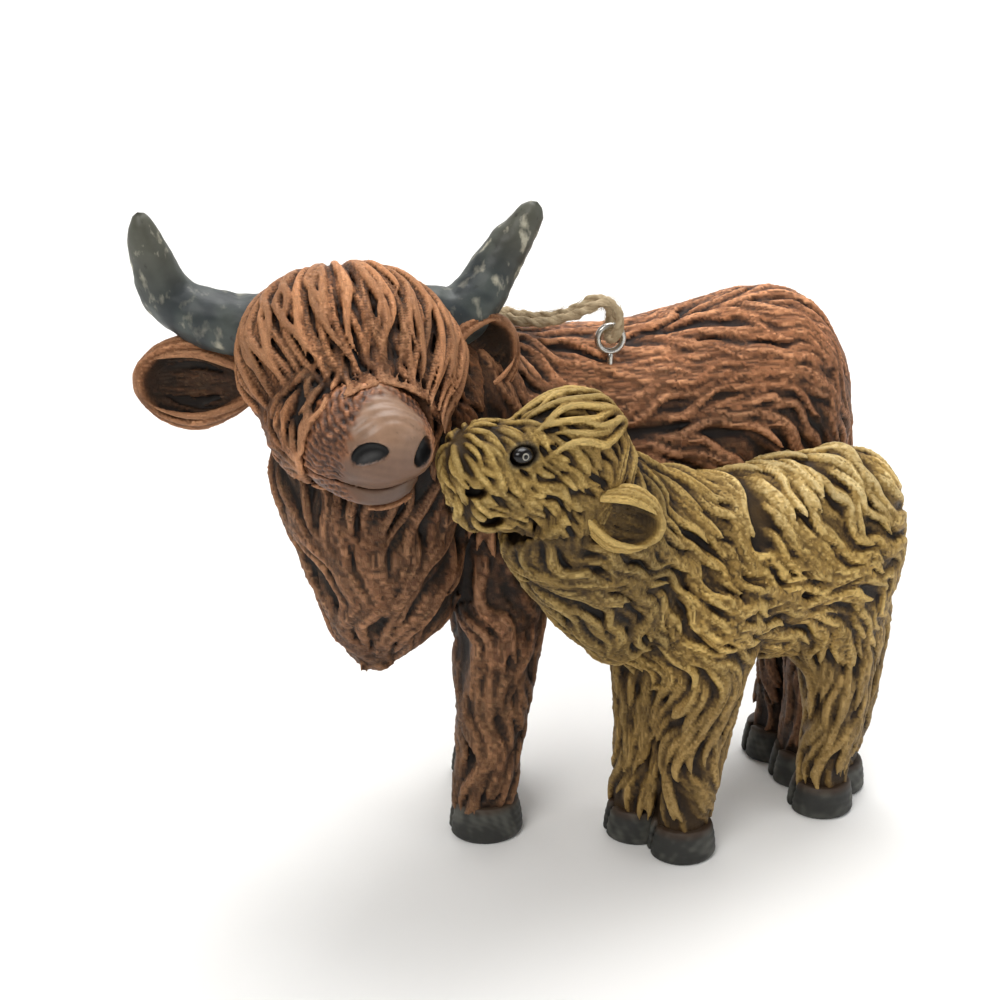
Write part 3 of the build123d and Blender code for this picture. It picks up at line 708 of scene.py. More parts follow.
HIND_LEG = (
    (0.0, 0, 0, 0.98, 0.93), (0.15, 0.05, 0, 0.95, 0.88), (0.38, 0.12, 0, 1.10, 0.95),
    (0.62, 0, 0, 1.55, 1.12), (0.84, -0.25, 0, 1.8, 1.3), (1.0, -0.3, 0, 1.9, 1.35),
)
HOOF = ((0.0, 0, 0, 0.97, 0.97), (0.12, 0, 0, 1.04, 1.04), (0.55, 0, 0, 1.0, 1.0), (1.0, 0, 0, 0.90, 0.90))
TAIL = (
    (0.0, 0, 0, 0.8, 0.8), (0.25, 0.95, 0, 0.8, 0.8), (0.55, 1.15, 0, 1.0, 1.0),
    (0.82, 1.05, 0, 0.9, 0.9), (0.96, 0.95, 0, 0.4, 0.4), (1.0, 0.95, 0, 0, 0),
)

LEG_START = 1.5


def legs(feet, fore_top, hind_top, thickness):
    """Four legs that rise into the body from just above their soles, the fore pair first."""
    kinds = ((fore_top, FORELEG), (fore_top, FORELEG), (hind_top, HIND_LEG), (hind_top, HIND_LEG))
    return [
        Body(turned((x, y, LEG_START), EAST, UP), top - LEG_START, thickness, thickness, rows, 4.0)
        for (x, y), (top, rows) in zip(feet, kinds)
    ]


# Cow's masses
cow_head = Body(facing((-27.5, 5.0, 80.0), 7.6, 27.6), 31.0, 26.0, 21.5, COW_HEAD)
cow_torso = Body(facing((50.0, 13.5, 55.0), -90, 0), 69.5, 28.0, 42.0, COW_TORSO, 4.0)
cow_neck = Body(facing((-3.0, 13.0, 57.0), -48, -21), 31.0, 25.0, 31.0, NECK, 5.0)
cow_mane = Body(turned((-22.5, -0.5, 67.5), (0, 1, 0), DOWN), 36.5, 20.0, 24.0, COW_MANE, 3.0)
cow_feet = ((-7.1, 3.0), (-3.9, 19.2), (45.6, 7.4), (44.4, 16.0))
cow_legs = legs(cow_feet, 52.0, 50.0, 9.8)
cow_tail = Body(turned((47.0, 17.0, 68.0), EAST, DOWN), 32.0, 4.2, 4.2, TAIL, 1.5)
cow_bodies = [cow_torso, cow_neck, cow_mane, cow_head, *cow_legs, cow_tail]

# Cow's nose and lower lip, in the frame of the head's end
nose = cow_head.origin + cow_head.z * cow_head.length
nose_axes = np.array([cow_head.x, cow_head.y, cow_head.z])


def nose_place(across, rise, ahead):
    return nose + np.array([across, rise, ahead]) @ nose_axes


def nose_frame(points):
    """How far the points are across, up and ahead of the nose."""
    offset = (points - nose) @ nose_axes.T
    return offset[..., 0], offset[..., 1], offset[..., 2]


def from_nose(points):
    return np.linalg.norm(points - nose, axis=-1)


def pad_share(points):
    """Below 1 on the bare nose pad and lip, and above 1 where the muzzle is furred."""
    across, rise, ahead = nose_frame(points)
    half = 5.3 - 0.2 * np.maximum(rise - 3, 0)
    rim = np.hypot((across + 0.2) / half, (rise - 2.6) / np.where(rise > 2.6, 7.2, 8.6))
    return rim + 0.25 * ease(-ahead, 1.5, 4.5) + 0.06 * waves(points, 8, 1.6)


nose_bodies = [
    Ball(nose_place(0.2, 2.4, -1.1), nose_axes, (5.4, 5.0, 4.0), 1.2),
    Ball(nose_place(3.2, 1.8, -1.6), nose_axes, (2.6, 3.4, 3.6), 1.0),
    Ball(nose_place(-3.2, 2.2, -1.6), nose_axes, (2.9, 3.2, 3.6), 1.0),
    Ball(nose_place(-0.7, -2.9, -1.9), nose_axes, (5.2, 2.6, 4.3), 0.9),
    Ball(nose_place(-1.7, 0.4, -4.9), nose_axes, (7.9, 7.6, 6.2), 1.6),
]
cow_jaw = Ball(nose_place(-5.3, -0.5, -9.5), nose_axes, (7.0, 7.6, 8.0), 2.0)
face_bodies = [*cow_bodies, cow_jaw, *nose_bodies]

# Calf's masses
calf_head = Body(facing((8.0, -13.0, 63.0), -72, -2), 25.5, 13.5, 16.0, CALF_HEAD, 2.5)
calf_torso = Body(facing((54.3, 1.3, 42.6), -81, 0), 49.0, 18.5, 30.5, CALF_TORSO, 4.0)
calf_neck = Body(facing((14.0, -5.5, 41.0), -62, -45), 27.0, 17.5, 25.0, NECK, 4.0)
calf_feet = ((19.6, -8.7), (14.8, -2.3), (44.5, -1.5), (49.1, 4.1))
calf_legs = legs(calf_feet, 42.0, 44.0, 9.0)
calf_muzzle = Ball(
    calf_head.origin + calf_head.z * 20.8 + calf_head.y * 1.3,
    (calf_head.x, calf_head.y, calf_head.z), (4.3, 4.9, 6.0), 1.6,
)
calf_bodies = [calf_torso, calf_neck, calf_head, calf_muzzle, *calf_legs]
EYE_SPOT, FAR_EYE_SPOT = (
    calf_head.origin + calf_head.z * 18.0 + calf_head.x * across + calf_head.y * 2.6 for across in (4.7, -4.7)
)


def cow_flow(points):
    """The way the cow's hair lies: back and down her flank, down her neck, mane and legs."""
    x, y, z = points.T
    back = ease(x, 28, 48)
    flow = np.stack([0.93 - 0.5 * back, 0 * x, -0.36 - 0.45 * back], -1)
    flow = lerp(flow, (0.5, 0.0, -0.85), ease(-x, -14, 6))
    mane = ease(-x, 9, 16) * ease(62 - z, 0, 8)
    down = np.stack([-0.035 * (x + 24), 0 * x - 0.12, 0 * x - 1], -1)
    flow = flow + (down - flow) * mane[:, None]
    return lerp(flow, (0.0, 0.0, -1.0), ease(40 - z, 0, 9) * (1 - mane))


def face_flow(points):
    """On the face the hair runs towards the nose, spreads to the cheeks, and falls off them."""
    across = cow_head.local(points)[0][:, None]
    flow = cow_head.z * 0.8 + cow_head.x * across * 0.06 + np.array(DOWN) * 0.3
    away = unit(points - nose_place(-0.2, 2.4, 3.0)) * 1.3 + np.array(DOWN) * 0.25
    return lerp(flow, away, ease(-from_nose(points), -11, -8))


def calf_flow(points):
    """The calf's hair runs down its neck to the chest, back along its body, and down its legs."""
    x, y, z = points.T
    flow = np.stack([0 * x + 0.8, 0 * x, -0.55 + 0 * x], -1)
    flow = lerp(flow, (0.4, 0.0, -0.9), ease(-x, -26, -8))
    flow = lerp(flow, (0.0, 0.0, -1.0), ease(33 - z, 0, 8))
    _, rise, run = calf_head.local(points)
    face = ease(run, 4, 10) * ease(rise, -10, -6)
    return flow + (-calf_head.z * 0.7 - calf_head.y * 0.7 - flow) * face[:, None]


def cow_head_region(points):
    """Negative where the head piece lies: before the neck and above the mane."""
    return np.maximum(np.maximum(points[..., 1] - 3.5, 55.5 - points[..., 2]), points[..., 0] + 9.5)


def in_mane(points):
    """Where the beard hangs, below the jaw and before the neck."""
    return (points[:, 0] < -9) & (points[:, 2] < 64) & (points[:, 1] < 9)


def back_flow(points):
    return cow_flow(points) * 0.4 + np.array([0.9, 0.0, 0.0])


def nape_flow(points):
    return cow_flow(points) + np.array([0, 0.4, -0.4])


# Cow's locks
flank = scatter(cow_bodies, 3.6, lambda p: ~in_mane(p) & (p[:, 2] > 36) & (p[:, 1] > -2))
shank = scatter(cow_bodies, 2.9, lambda p: ~in_mane(p) & (p[:, 2] > 12) & (p[:, 2] < 38))
beard = scatter(cow_bodies, 3.1, in_mane)
cow_flank = trace(cow_bodies, flank, cow_flow, 13.0, 0.74, 0.72, (-0.95, -0.1), 0.5, 1.0)
cow_leg = trace(cow_bodies, shank, cow_flow, 8.5, 0.66, 0.6, (-0.85, -0.2), 0.35, 0.9)
cow_beard = trace(cow_bodies, beard, cow_flow, 12.0, 0.72, 0.75, (-0.95, 0.05), 0.5, 1.1)
ridge = scatter([cow_torso], 2.5, lambda p: (p[:, 2] > 66) & (p[:, 0] > -4))
cow_ridge = trace(cow_bodies, ridge, back_flow, 9.5, 0.62, 0.6, (-0.9, -0.2))
below = scatter(cow_bodies, 3.2, lambda p: p[:, 2] > 11)
cow_under = trace(cow_bodies, below, cow_flow, 11.0, 0.66, 0.5, (-1.1, -0.75), 0.5, 1.0, 12)

cheek = scatter([cow_head, cow_jaw], 1.75, lambda p: (cow_head.local(p)[2] > 8) & (from_nose(p) > 9.2))
cow_face = trace(face_bodies, cheek, face_flow, 4.2, 0.5, 0.42, (-0.55, 0.0), 0.6, 0.9, 10)
nape = scatter([cow_head, cow_neck], 3.0, lambda p: (cow_head.local(p)[2] < 12) & (p[:, 0] < -5))
cow_nape = trace(cow_bodies, nape, nape_flow, 8.0, 0.7, 0.7, (-0.9, -0.1))


def fringe(body, angles, tips, wide, thick, lift, root=0.1, gather_in=0.5, samples=22, wave=4.0, hang=0.0):
    """Locks over the brow: each starts near the crown, fans out to its own angle, and hangs to its tip."""
    angles, tips = np.asarray(angles, float), np.asarray(tips, float)
    share = np.linspace(0, 1, samples)[None]
    along = root + (tips[:, None] - root) * share
    spread = gather_in + (1 - gather_in) * np.minimum(1, share * 2.4) ** 0.7
    phase = rng.uniform(0, 2 * pi, len(angles))[:, None]
    sway = wave * np.sin(2 * pi * 1.25 * share + phase) * share
    turn = np.radians(angles[:, None] * spread * (1 - 0.12 * share) + sway)
    raised = lift + 0.5 * np.sin(pi * share)
    path = body.surface(along, turn, raised) + body.x * (np.sin(turn) * hang * share**2)[..., None]
    return strands(path, body.normal(along, turn), wide, thick, 0.12)


lower = np.linspace(-98, 96, 29) + rng.uniform(-1.5, 1.5, 29)
upper = np.linspace(-84, 84, 18) + rng.uniform(-4, 4, 18)
short_turn = np.linspace(-66, 66, 10) + rng.uniform(-5, 5, 10)
lower_tips = 0.76 + 0.16 * (np.abs(lower) / 92) + rng.uniform(-0.05, 0.05, 29)
upper_tips = 0.68 + 0.18 * (np.abs(upper) / 84) + rng.uniform(-0.1, 0.06, 18)
cow_fringe = gather(
    fringe(cow_head, np.linspace(-97, 97, 37), rng.uniform(0.74, 0.92, 37), 0.46, 0.38, -1.0, hang=1.2),
    fringe(cow_head, lower, lower_tips, 0.58, 0.62, -0.25, wave=3.0, hang=1.4),
    fringe(cow_head, upper, upper_tips, 0.52, 0.56, 0.35, wave=4.0, hang=1.6),
    fringe(cow_head, short_turn, rng.uniform(0.42, 0.68, 10), 0.52, 0.45, 0.5, 0.08, wave=4.0, hang=1.0),
)


def tuft(body, middle, reach, angles, wide, thick, lift):
    """Short locks that radiate over a body's top. Their middle is a share of its length and an angle."""
    angles = np.radians(np.asarray(angles, float))
    share = np.linspace(0.15, 1, 9)[None]
    along = middle[0] - np.cos(angles)[:, None] * share * reach / body.length
    wide_there = body.at("wide", np.array(middle[0]))
    turn = np.radians(middle[1]) + np.sin(angles)[:, None] * share * reach / wide_there
    path = body.surface(along, turn, lift + 0.25 * share + 0 * along)
    return strands(path, body.normal(along, turn), wide, thick, 0.12)


cow_tuft = gather(
    tuft(cow_head, (0.97, 2.0), 6.4, np.linspace(-95, 95, 33) + rng.uniform(-3, 3, 33), 0.27, 0.34, 0.35),
    tuft(cow_head, (0.93, 2.0), 6.4, np.linspace(-80, 80, 24) + rng.uniform(-4, 4, 24), 0.27, 0.34, 0.1),
)

def on_calf_face(points):
    _, rise, run = calf_head.local(points)
    return (run > 5) & (rise > -8.5)


# Calf's locks
calf_seed = scatter(calf_bodies, 2.9, lambda p: (p[:, 2] > 31) & ~on_calf_face(p))
calf_low = scatter(calf_bodies, 2.8, lambda p: (p[:, 2] > 11) & (p[:, 2] < 33))
calf_coat = trace(calf_bodies, calf_seed, calf_flow, 9.5, 0.7, 0.74, (-1.0, 0.0), 0.6, 1.1)
calf_shank = trace(calf_bodies, calf_low, calf_flow, 7.5, 0.64, 0.6, (-0.85, -0.15), 0.4, 1.0)
calf_below = scatter(calf_bodies, 3.0, lambda p: p[:, 2] > 10)
calf_under = trace(calf_bodies, calf_below, calf_flow, 8.5, 0.6, 0.5, (-1.1, -0.75), 0.6, 1.1, 12)
short = scatter([calf_head, calf_muzzle], 1.4, lambda p: calf_head.local(p)[2] > 4)
calf_face = trace(calf_bodies, short, calf_flow, 3.6, 0.42, 0.36, (-0.4, 0.0), 0.5, 0.8, 9)
swept = np.linspace(-70, 70, 11)
calf_fringe = gather(
    fringe(calf_head, swept, 0.62 + rng.uniform(-0.06, 0.10, 11), 0.55, 0.5, -0.3, 0.06, 0.45, 18, 7.0),
    fringe(calf_head, np.linspace(-50, 50, 7), rng.uniform(0.42, 0.66, 7), 0.5, 0.45, 0.1, 0.04, 0.5, 18, 7.0),
)


# Colours of the cast animals. Each palette runs from the grooves, darkened by the dark wash and by painted
# shade, to the brushed crests.
WASH_AND_SHADE_PLACES = (0.0, 0.22, 0.5, 0.78, 1.0)
GROOVE = rgb(20, 11, 7)
COW_COAT = (GROOVE, rgb(38, 22, 14), rgb(84, 53, 34), rgb(134, 88, 60), rgb(184, 130, 94))
COW_BROW = (rgb(13, 6, 4), rgb(36, 20, 12), rgb(76, 46, 28), rgb(126, 80, 50), rgb(180, 124, 86))
COW_SHANK = (GROOVE, rgb(38, 23, 15), rgb(76, 50, 33), rgb(112, 76, 52), rgb(142, 99, 69))
CALF_COAT = (rgb(20, 12, 6), rgb(48, 33, 14), rgb(104, 79, 36), rgb(156, 124, 63), rgb(200, 168, 100))
# Paler colours for the calf's back: a painted highlight where light from above falls.
CALF_BACK = (rgb(34, 22, 10), rgb(88, 66, 32), rgb(156, 125, 67), rgb(208, 176, 112), rgb(232, 206, 148))
CALF_SHANK = (rgb(24, 15, 8), rgb(54, 39, 20), rgb(96, 74, 38), rgb(136, 108, 60), rgb(160, 131, 80))
CALF_FACE = (rgb(24, 16, 7), rgb(60, 44, 20), rgb(110, 86, 42), rgb(158, 129, 70), rgb(194, 165, 102))


def washed_and_shaded(height, stops):
    """The colour at each height between the dark wash and painted shade of the grooves and the brushed crests.
    """
    stops = np.array(stops)
    return np.stack([np.interp(height, WASH_AND_SHADE_PLACES, stops[:, part]) for part in range(3)], -1)


def wash_and_shade_height(over, crease):
    """From 0 in the deepest grooves, where the dark wash and painted shade lie, to 1 on the brushed ridges."""
    # Painted shade: grooves, and surfaces that lie low between the locks, are darkened on top of the dark
    # wash, as if light were kept out of them.
    return np.clip(0.46 + 2.4 * crease, 0, 1) * (0.4 + 0.6 * ease(over, 0.0, 1.1))


def cow_tint(points, over, marks, crease):
    height = wash_and_shade_height(over, crease)
    x, y, z = points.T
    colour = lerp(washed_and_shaded(height, COW_COAT), washed_and_shaded(height, COW_SHANK), ease(38 - z, 0, 14))
    mane = ease(-x, 7, 14) * ease(68 - z, 0, 6)
    # Painted highlight: the top of the back is made much lighter, where light from above falls on it.
    crown = ease(z, 62, 74) * ease(x, -4, 4)
    colour = colour * (1 - 0.3 * mane + 1.15 * crown)[:, None]
    brow = ease(-y, -5, 1) * ease(z, 60, 66) * ease(-x, 6, 12)
    colour = lerp(colour, washed_and_shaded(height, COW_BROW), brow)
    muzzle = ease(-from_nose(points), -13, -10)
    colour = lerp(colour, washed_and_shaded(np.minimum(height * 1.2, 1), COW_COAT), muzzle)
    pale = 0.3 * ease(z, 78, 88) * brow
    tone = marks[:, 2] * (0.5 + 0.4 * brow) + 0.74 - 0.18 * brow
    return colour * (0.85 * tone * (1 + pale))[:, None], height


def calf_tint(points, over, marks, crease):
    height = wash_and_shade_height(over, crease)
    x, y, z = points.T
    # Painted highlight: the calf's back takes the paler CALF_BACK colours, where light from above falls on it.
    back = ease(x, 16, 36) * ease(z, 46, 54)
    colour = lerp(washed_and_shaded(height, CALF_COAT), washed_and_shaded(height, CALF_BACK), back)
    colour = lerp(colour, washed_and_shaded(height, CALF_SHANK), ease(34 - z, 0, 12))
    throat = ease(20 - x, 0, 9) * ease(z, 30, 36) * ease(62 - z, 0, 5)
    colour = colour * (1 - 0.4 * throat)[:, None]
    _, rise, run = calf_head.local(points)
    face = ease(run, 6, 12) * ease(rise, -9, -6)
    colour = lerp(colour, washed_and_shaded(np.minimum(height * 1.15, 1), CALF_FACE), face)
    for spot in (EYE_SPOT, FAR_EYE_SPOT):
        run, rise = (points - spot) @ calf_head.z, (points - spot) @ calf_head.y
        round_eye = np.hypot((run + 0.35 * rise) / 2.1, rise / 1.5)
        colour = lerp(colour, GROOVE, ease(-round_eye, -1.15, -0.8) * 0.8)
    return colour * (marks[:, 2:] * 0.45 + 0.76), height


cow_paint = painted_hair("cow_coat_paint", 0.5, 0.35)
calf_paint = painted_hair("calf_coat_paint", 0.5, 0.4)
skin_paint = painted_skin("muzzle_paint_satin", 0.42, 0.00012, 0.35)
horn_paint = painted_skin("horn_paint_satin", 0.4, 0.0002, 0.4, 380.0, True)
hoof_paint = painted_skin("hoof_paint_matt", 0.5, 0.0002, 0.4)


def cast_piece(name, box, cell, bodies, locks, sink, region, tint, material, nodes, extra=None):
    """A piece of the cast hide: its bodies sunk a little, its locks laid on them, cut to its region."""
    grid = Grid(*box, cell, bodies, sink)
    grid.lay(locks)
    points, quads, over, marks, crease = grid.skin(region, extra)
    colour, height = tint(points, over, marks, crease)
    marks = {"tint": colour, "height": height, "strand": marks}
    return place_mesh(name, points, quads, material, marks, nodes)


def under_nose(points, field):
    """The hide draws back beneath the nose, which is a form of its own."""
    away = np.linalg.norm(points - nose_place(-0.6, 0.8, -2.0), axis=-1)
    return field + 2.6 * ease(-away, -8.2, -6.2)


COW_SPLIT, CALF_SPLIT = 20, 27  # where along x the fore and hind hides of each meet
head_locks = gather(cow_under, cow_fringe, cow_face, cow_nape, cow_tuft, cow_beard)
cast_piece(
    "cow_head_hide", ((-44, -31, 53), (-7, 6, 91)), 0.27, face_bodies, head_locks, 0.8,
    cow_head_region, cow_tint, cow_paint, ["cow_head", "cow_forelock"], under_nose,
)
cow_locks = gather(cow_under, cow_ridge, cow_flank, cow_leg, cow_beard, cow_nape)
cast_piece(
    "cow_fore_hide", ((-42, -16, 4), (22, 31, 90)), 0.41, cow_bodies, cow_locks, 0.95,
    lambda p: np.maximum(-cow_head_region(p), p[..., 0] - COW_SPLIT), cow_tint, cow_paint,
    ["cow_neck", "cow_mane", "cow_left_fore_leg", "cow_right_fore_leg", "cow_torso"],
)
cast_piece(
    "cow_hind_hide", ((18, -3, 4), (57, 31, 80)), 0.37, cow_bodies, cow_locks, 0.95,
    lambda p: COW_SPLIT - p[..., 0], cow_tint, cow_paint,
    ["cow_left_hind_leg", "cow_right_hind_leg", "cow_tail"],
)


def calf_head_region(points):
    """Negative where the calf's head piece lies."""
    _, rise, run = calf_head.local(points)
    return np.maximum(3.0 - run, -8.5 - rise)


def calf_features(points, field):
    """A socket for each eye with a low lid, a nostril and the corner of the mouth on the near side."""
    for spot, side in ((EYE_SPOT, 1), (FAR_EYE_SPOT, -1)):
        offset = points - spot
        run, rise = offset @ calf_head.z, offset @ calf_head.y
        out = offset @ calf_head.x * side
        socket = np.sqrt(((run + 0.3 * rise) / 1.75) ** 2 + (rise / 1.2) ** 2 + (out / 1.8) ** 2) - 1
        ring = np.abs(socket - 0.12) - 0.12
        field = join(field, np.maximum(ring, field - 0.2), 0.2) if side > 0 else field
        field = np.maximum(field, -socket)
    across, rise, run = calf_head.local(points)
    for run_there, rise_there, size in ((23.6, -1.6, 0.75), (21.0, -5.6, 0.95)):
        hole = np.sqrt(((run - run_there) / 1.5) ** 2 + ((rise - rise_there) / 0.9) ** 2)
        hole = np.maximum((hole - size) * 0.9, np.maximum(1.5 - across, -field - 1.0))
        field = np.maximum(field, -hole)
    return field


calf_head_locks = gather(calf_under, calf_face, calf_fringe, calf_coat)
cast_piece(
    "calf_head_hide", ((-19, -26, 52), (8, -6, 74)), 0.21, calf_bodies, calf_head_locks, 0.55,
    calf_head_region, calf_tint, calf_paint, ["calf_head", "calf_forelock"], calf_features,
)
calf_locks = gather(calf_under, calf_coat, calf_shank, calf_fringe)
cast_piece(
    "calf_fore_hide", ((-10, -22, 3.5), (29, 10, 73)), 0.31, calf_bodies, calf_locks, 0.95,
    lambda p: np.maximum(-calf_head_region(p), p[..., 0] - CALF_SPLIT), calf_tint, calf_paint,
    ["calf_neck", "calf_torso", "calf_left_fore_leg", "calf_right_fore_leg"],
)
cast_piece(
    "calf_hind_hide", ((25, -14, 3.5), (60, 14, 64)), 0.33, calf_bodies, calf_locks, 0.95,
    lambda p: CALF_SPLIT - p[..., 0], calf_tint, calf_paint,
    ["calf_left_hind_leg", "calf_right_hind_leg", "calf_tail"],
)


# Cow's nose. Each nostril has its place, its radii and its lean.
NOSTRILS = (((-3.0, 4.2, 2.9), (2.6, 1.3, 2.6), 0.45), ((3.9, 3.5, 2.3), (1.4, 2.0, 2.6), -0.3))


def nose_shape(points, field):
    """Wrinkles over the pad, fine fur round it, nostrils, the mouth's line, and a pit in the philtrum."""
    across, rise, ahead = nose_frame(points)
    wrinkle = np.sin(2 * pi * (ahead * 0.8 + 0.25 * np.cos(across * 0.7) + 0.1 * rise))
    field = field - 0.05 * wrinkle * ease(rise, 4, 6) * ease(-ahead, -3.5, -1)
    furred = ease(pad_share(points), 0.94, 1.1)
    strand = np.sin(52 * np.arctan2(rise - 1.0, across + 0.2) + 5.0 * waves(points, 12, 0.55))
    field = field - (0.11 * strand + 0.12 * waves(points, 13, 2.2)) * furred + 0.1 * furred
    for spot, radii, lean in NOSTRILS:
        a = (across - spot[0]) * cos(lean) + (rise - spot[1]) * sin(lean)
        b = (rise - spot[1]) * cos(lean) - (across - spot[0]) * sin(lean)
        b = b + 0.06 * a**2 - 0.15
        c = ahead - spot[2]
        hole = np.sqrt((a / radii[0]) ** 2 + (b / radii[1]) ** 2 + (c / radii[2]) ** 2) - 1
        field = np.maximum(field, -1.2 * hole)
    mouth = rise + 1.5 + 0.04 * across - 0.16 * np.sin(across * 0.9)
    field = np.maximum(field, 0.13 - np.abs(mouth) - np.maximum(0, -field - 0.8))
    pit = np.sqrt((across - 0.4) ** 2 + (rise - 1.6) ** 2 + (ahead - 3.7) ** 2) - 0.7
    return np.maximum(field, -pit)


def nose_tint(points, over, crease):
    """Bare skin on the pad and lip, dark in the nostrils, fur round them, and where it is glossy."""
    across, rise, ahead = nose_frame(points)
    # Painted highlight: the pad grows lighter towards its top, where light from above falls.
    colour = lerp(rgb(106, 80, 64), rgb(146, 116, 94), ease(rise, 3.0, 7.5) * 0.85)
    colour = lerp(colour, rgb(96, 76, 65), ease(-rise, 1.0, 2.4))
    colour = lerp(colour, rgb(84, 58, 40), ease(-across - 0.5 * rise, 2.6, 5.2) * 0.8)
    colour = colour * (1 + 0.6 * np.clip(crease, -0.3, 0.15) + 0.1 * waves(points, 14, 0.9))[:, None]
    furred = ease(pad_share(points), 0.9, 1.04)
    height = np.clip(0.48 + 1.9 * crease, 0, 1)
    fur = washed_and_shaded(height, COW_COAT) * (0.85 + 0.45 * ease(rise, 4, 8))[:, None]
    colour = lerp(colour, fur, furred)
    deep = ease(-over, 0.1, 0.35) * (1 - furred) * ease(rise, 0.5, 1.5)
    colour = lerp(colour, rgb(8, 5, 4), deep)
    return colour, 0.45 * (1 - 0.9 * furred) * (1 - deep)


grid = Grid(nose - 10, nose + 10, 0.2, nose_bodies, 0.0)
points, quads, over, _, crease = grid.skin(None, nose_shape)
colour, gloss = nose_tint(points, over, crease)
place_mesh("cow_nose", points, quads, skin_paint, {"tint": colour, "height": gloss}, ["cow_muzzle"])


def ear_piece(name, axes, length, height, thickness, wall, stops, material, nodes, count):
    """A leaf with an open cup on its front, and locks that fan from the root over both."""
    origin, across, rise, ahead = axes
    leaf = Body(axes, length, thickness, height, EAR, 1.0)
    front = thickness / 2 - wall / 2
    start = origin + across * front + ahead * wall
    cup = Body((start, across, rise, ahead), length - 2 * wall, thickness * 0.95, height * 0.84, EAR, 1.0)

    def shape(points, field):
        carved = -join(-grid.base, cup.distance(points), 0.6)
        grid.base = carved.astype(np.float32)
        return join(carved, grid.lock, 0.15)

    turns = np.radians(np.linspace(-226, 46, count))[:, None] + 0.06 * rng.normal(size=(count, 1))
    share = np.linspace(0.02, 0.95, 14)[None] * rng.uniform(0.85, 1.02, (count, 1))
    outer = leaf.surface(share, turns + 0 * share, -0.15)
    square = leaf.normal(share, turns)
    fan = np.linspace(-0.86, 0.86, count - 3)[:, None]
    share = np.linspace(0.0, 0.9, 14)[None] * rng.uniform(0.7, 1.0, (count - 3, 1))
    bent = fan * (1 + 0.12 * np.sin(share * 7 + fan * 9))
    deep = 0.1 - cup.at("wide", share) * np.sqrt(np.maximum(1 - bent**2, 0.05))
    inner = (
        start + ahead * (share * cup.length)[..., None]
        + across * deep[..., None] + rise * (bent * cup.at("tall", share))[..., None]
    )
    facing_out = unit(across + rise * (-bent * 0.8)[..., None])
    grid = Grid(leaf.low - 1.5, leaf.high + 1.5, 0.24, [leaf], 0.25)
    grid.lay(gather(strands(outer, square, 0.55, 0.5), strands(inner, facing_out, 0.46, 0.5)))
    points, quads, _, marks, crease = grid.skin(None, shape)
    inside = ease(-leaf.distance(points), 0.3, 1.4)
    height_mark = np.clip(0.52 + 2.2 * crease, 0, 1) * (1 - 0.35 * inside)
    colour = washed_and_shaded(height_mark, stops) * (marks[:, 2:] * 0.4 + 0.8) * (1 - 0.5 * inside[:, None])
    marks = {"tint": colour, "height": height_mark, "strand": marks}
    return place_mesh(name, points, quads, material, marks, nodes)


def flipped(axes):
    """The same plane with its front on the other side."""
    origin, across, rise, ahead = axes
    return origin, -across, -rise, ahead


middle_x = cow_head.origin[0] + 15.5 * cow_head.z[0]
COW_EAR = (12.0, 5.0, 1.3, COW_COAT, cow_paint)
CALF_EAR = (8.5, 4.0, 1.0, CALF_COAT, calf_paint)
for node, axes, length, kind, count in (
    ("cow_right_ear", facing((middle_x - 11.4, -1.0, 71.0), -97, -3), 16.0, COW_EAR, 17),
    ("cow_left_ear", flipped(facing((middle_x + 11.0, -4.5, 70.5), 104, -32)), 13.0, COW_EAR, 17),
    ("calf_left_ear", flipped(facing((0.4, -19.6, 58.8), 80, 22)), 11.5, CALF_EAR, 13),
    ("calf_right_ear", facing((4.0, -7.0, 58.8), 140, 25), 11.5, CALF_EAR, 13),
):
    ear_piece(f"{node}_shell", axes, length, *kind, [node], count)


# Horns
HORN_PLACES = (0.0, 0.16, 0.34, 0.52, 0.70, 0.85, 0.95, 0.985, 1.0)
HORN_SIZES = (1.14, 1.12, 1.06, 0.95, 0.80, 0.62, 0.44, 0.28, 0.02)
HORN_RADIUS, HORN_STEPS, HORN_SIDES = 3.55, 90, 56


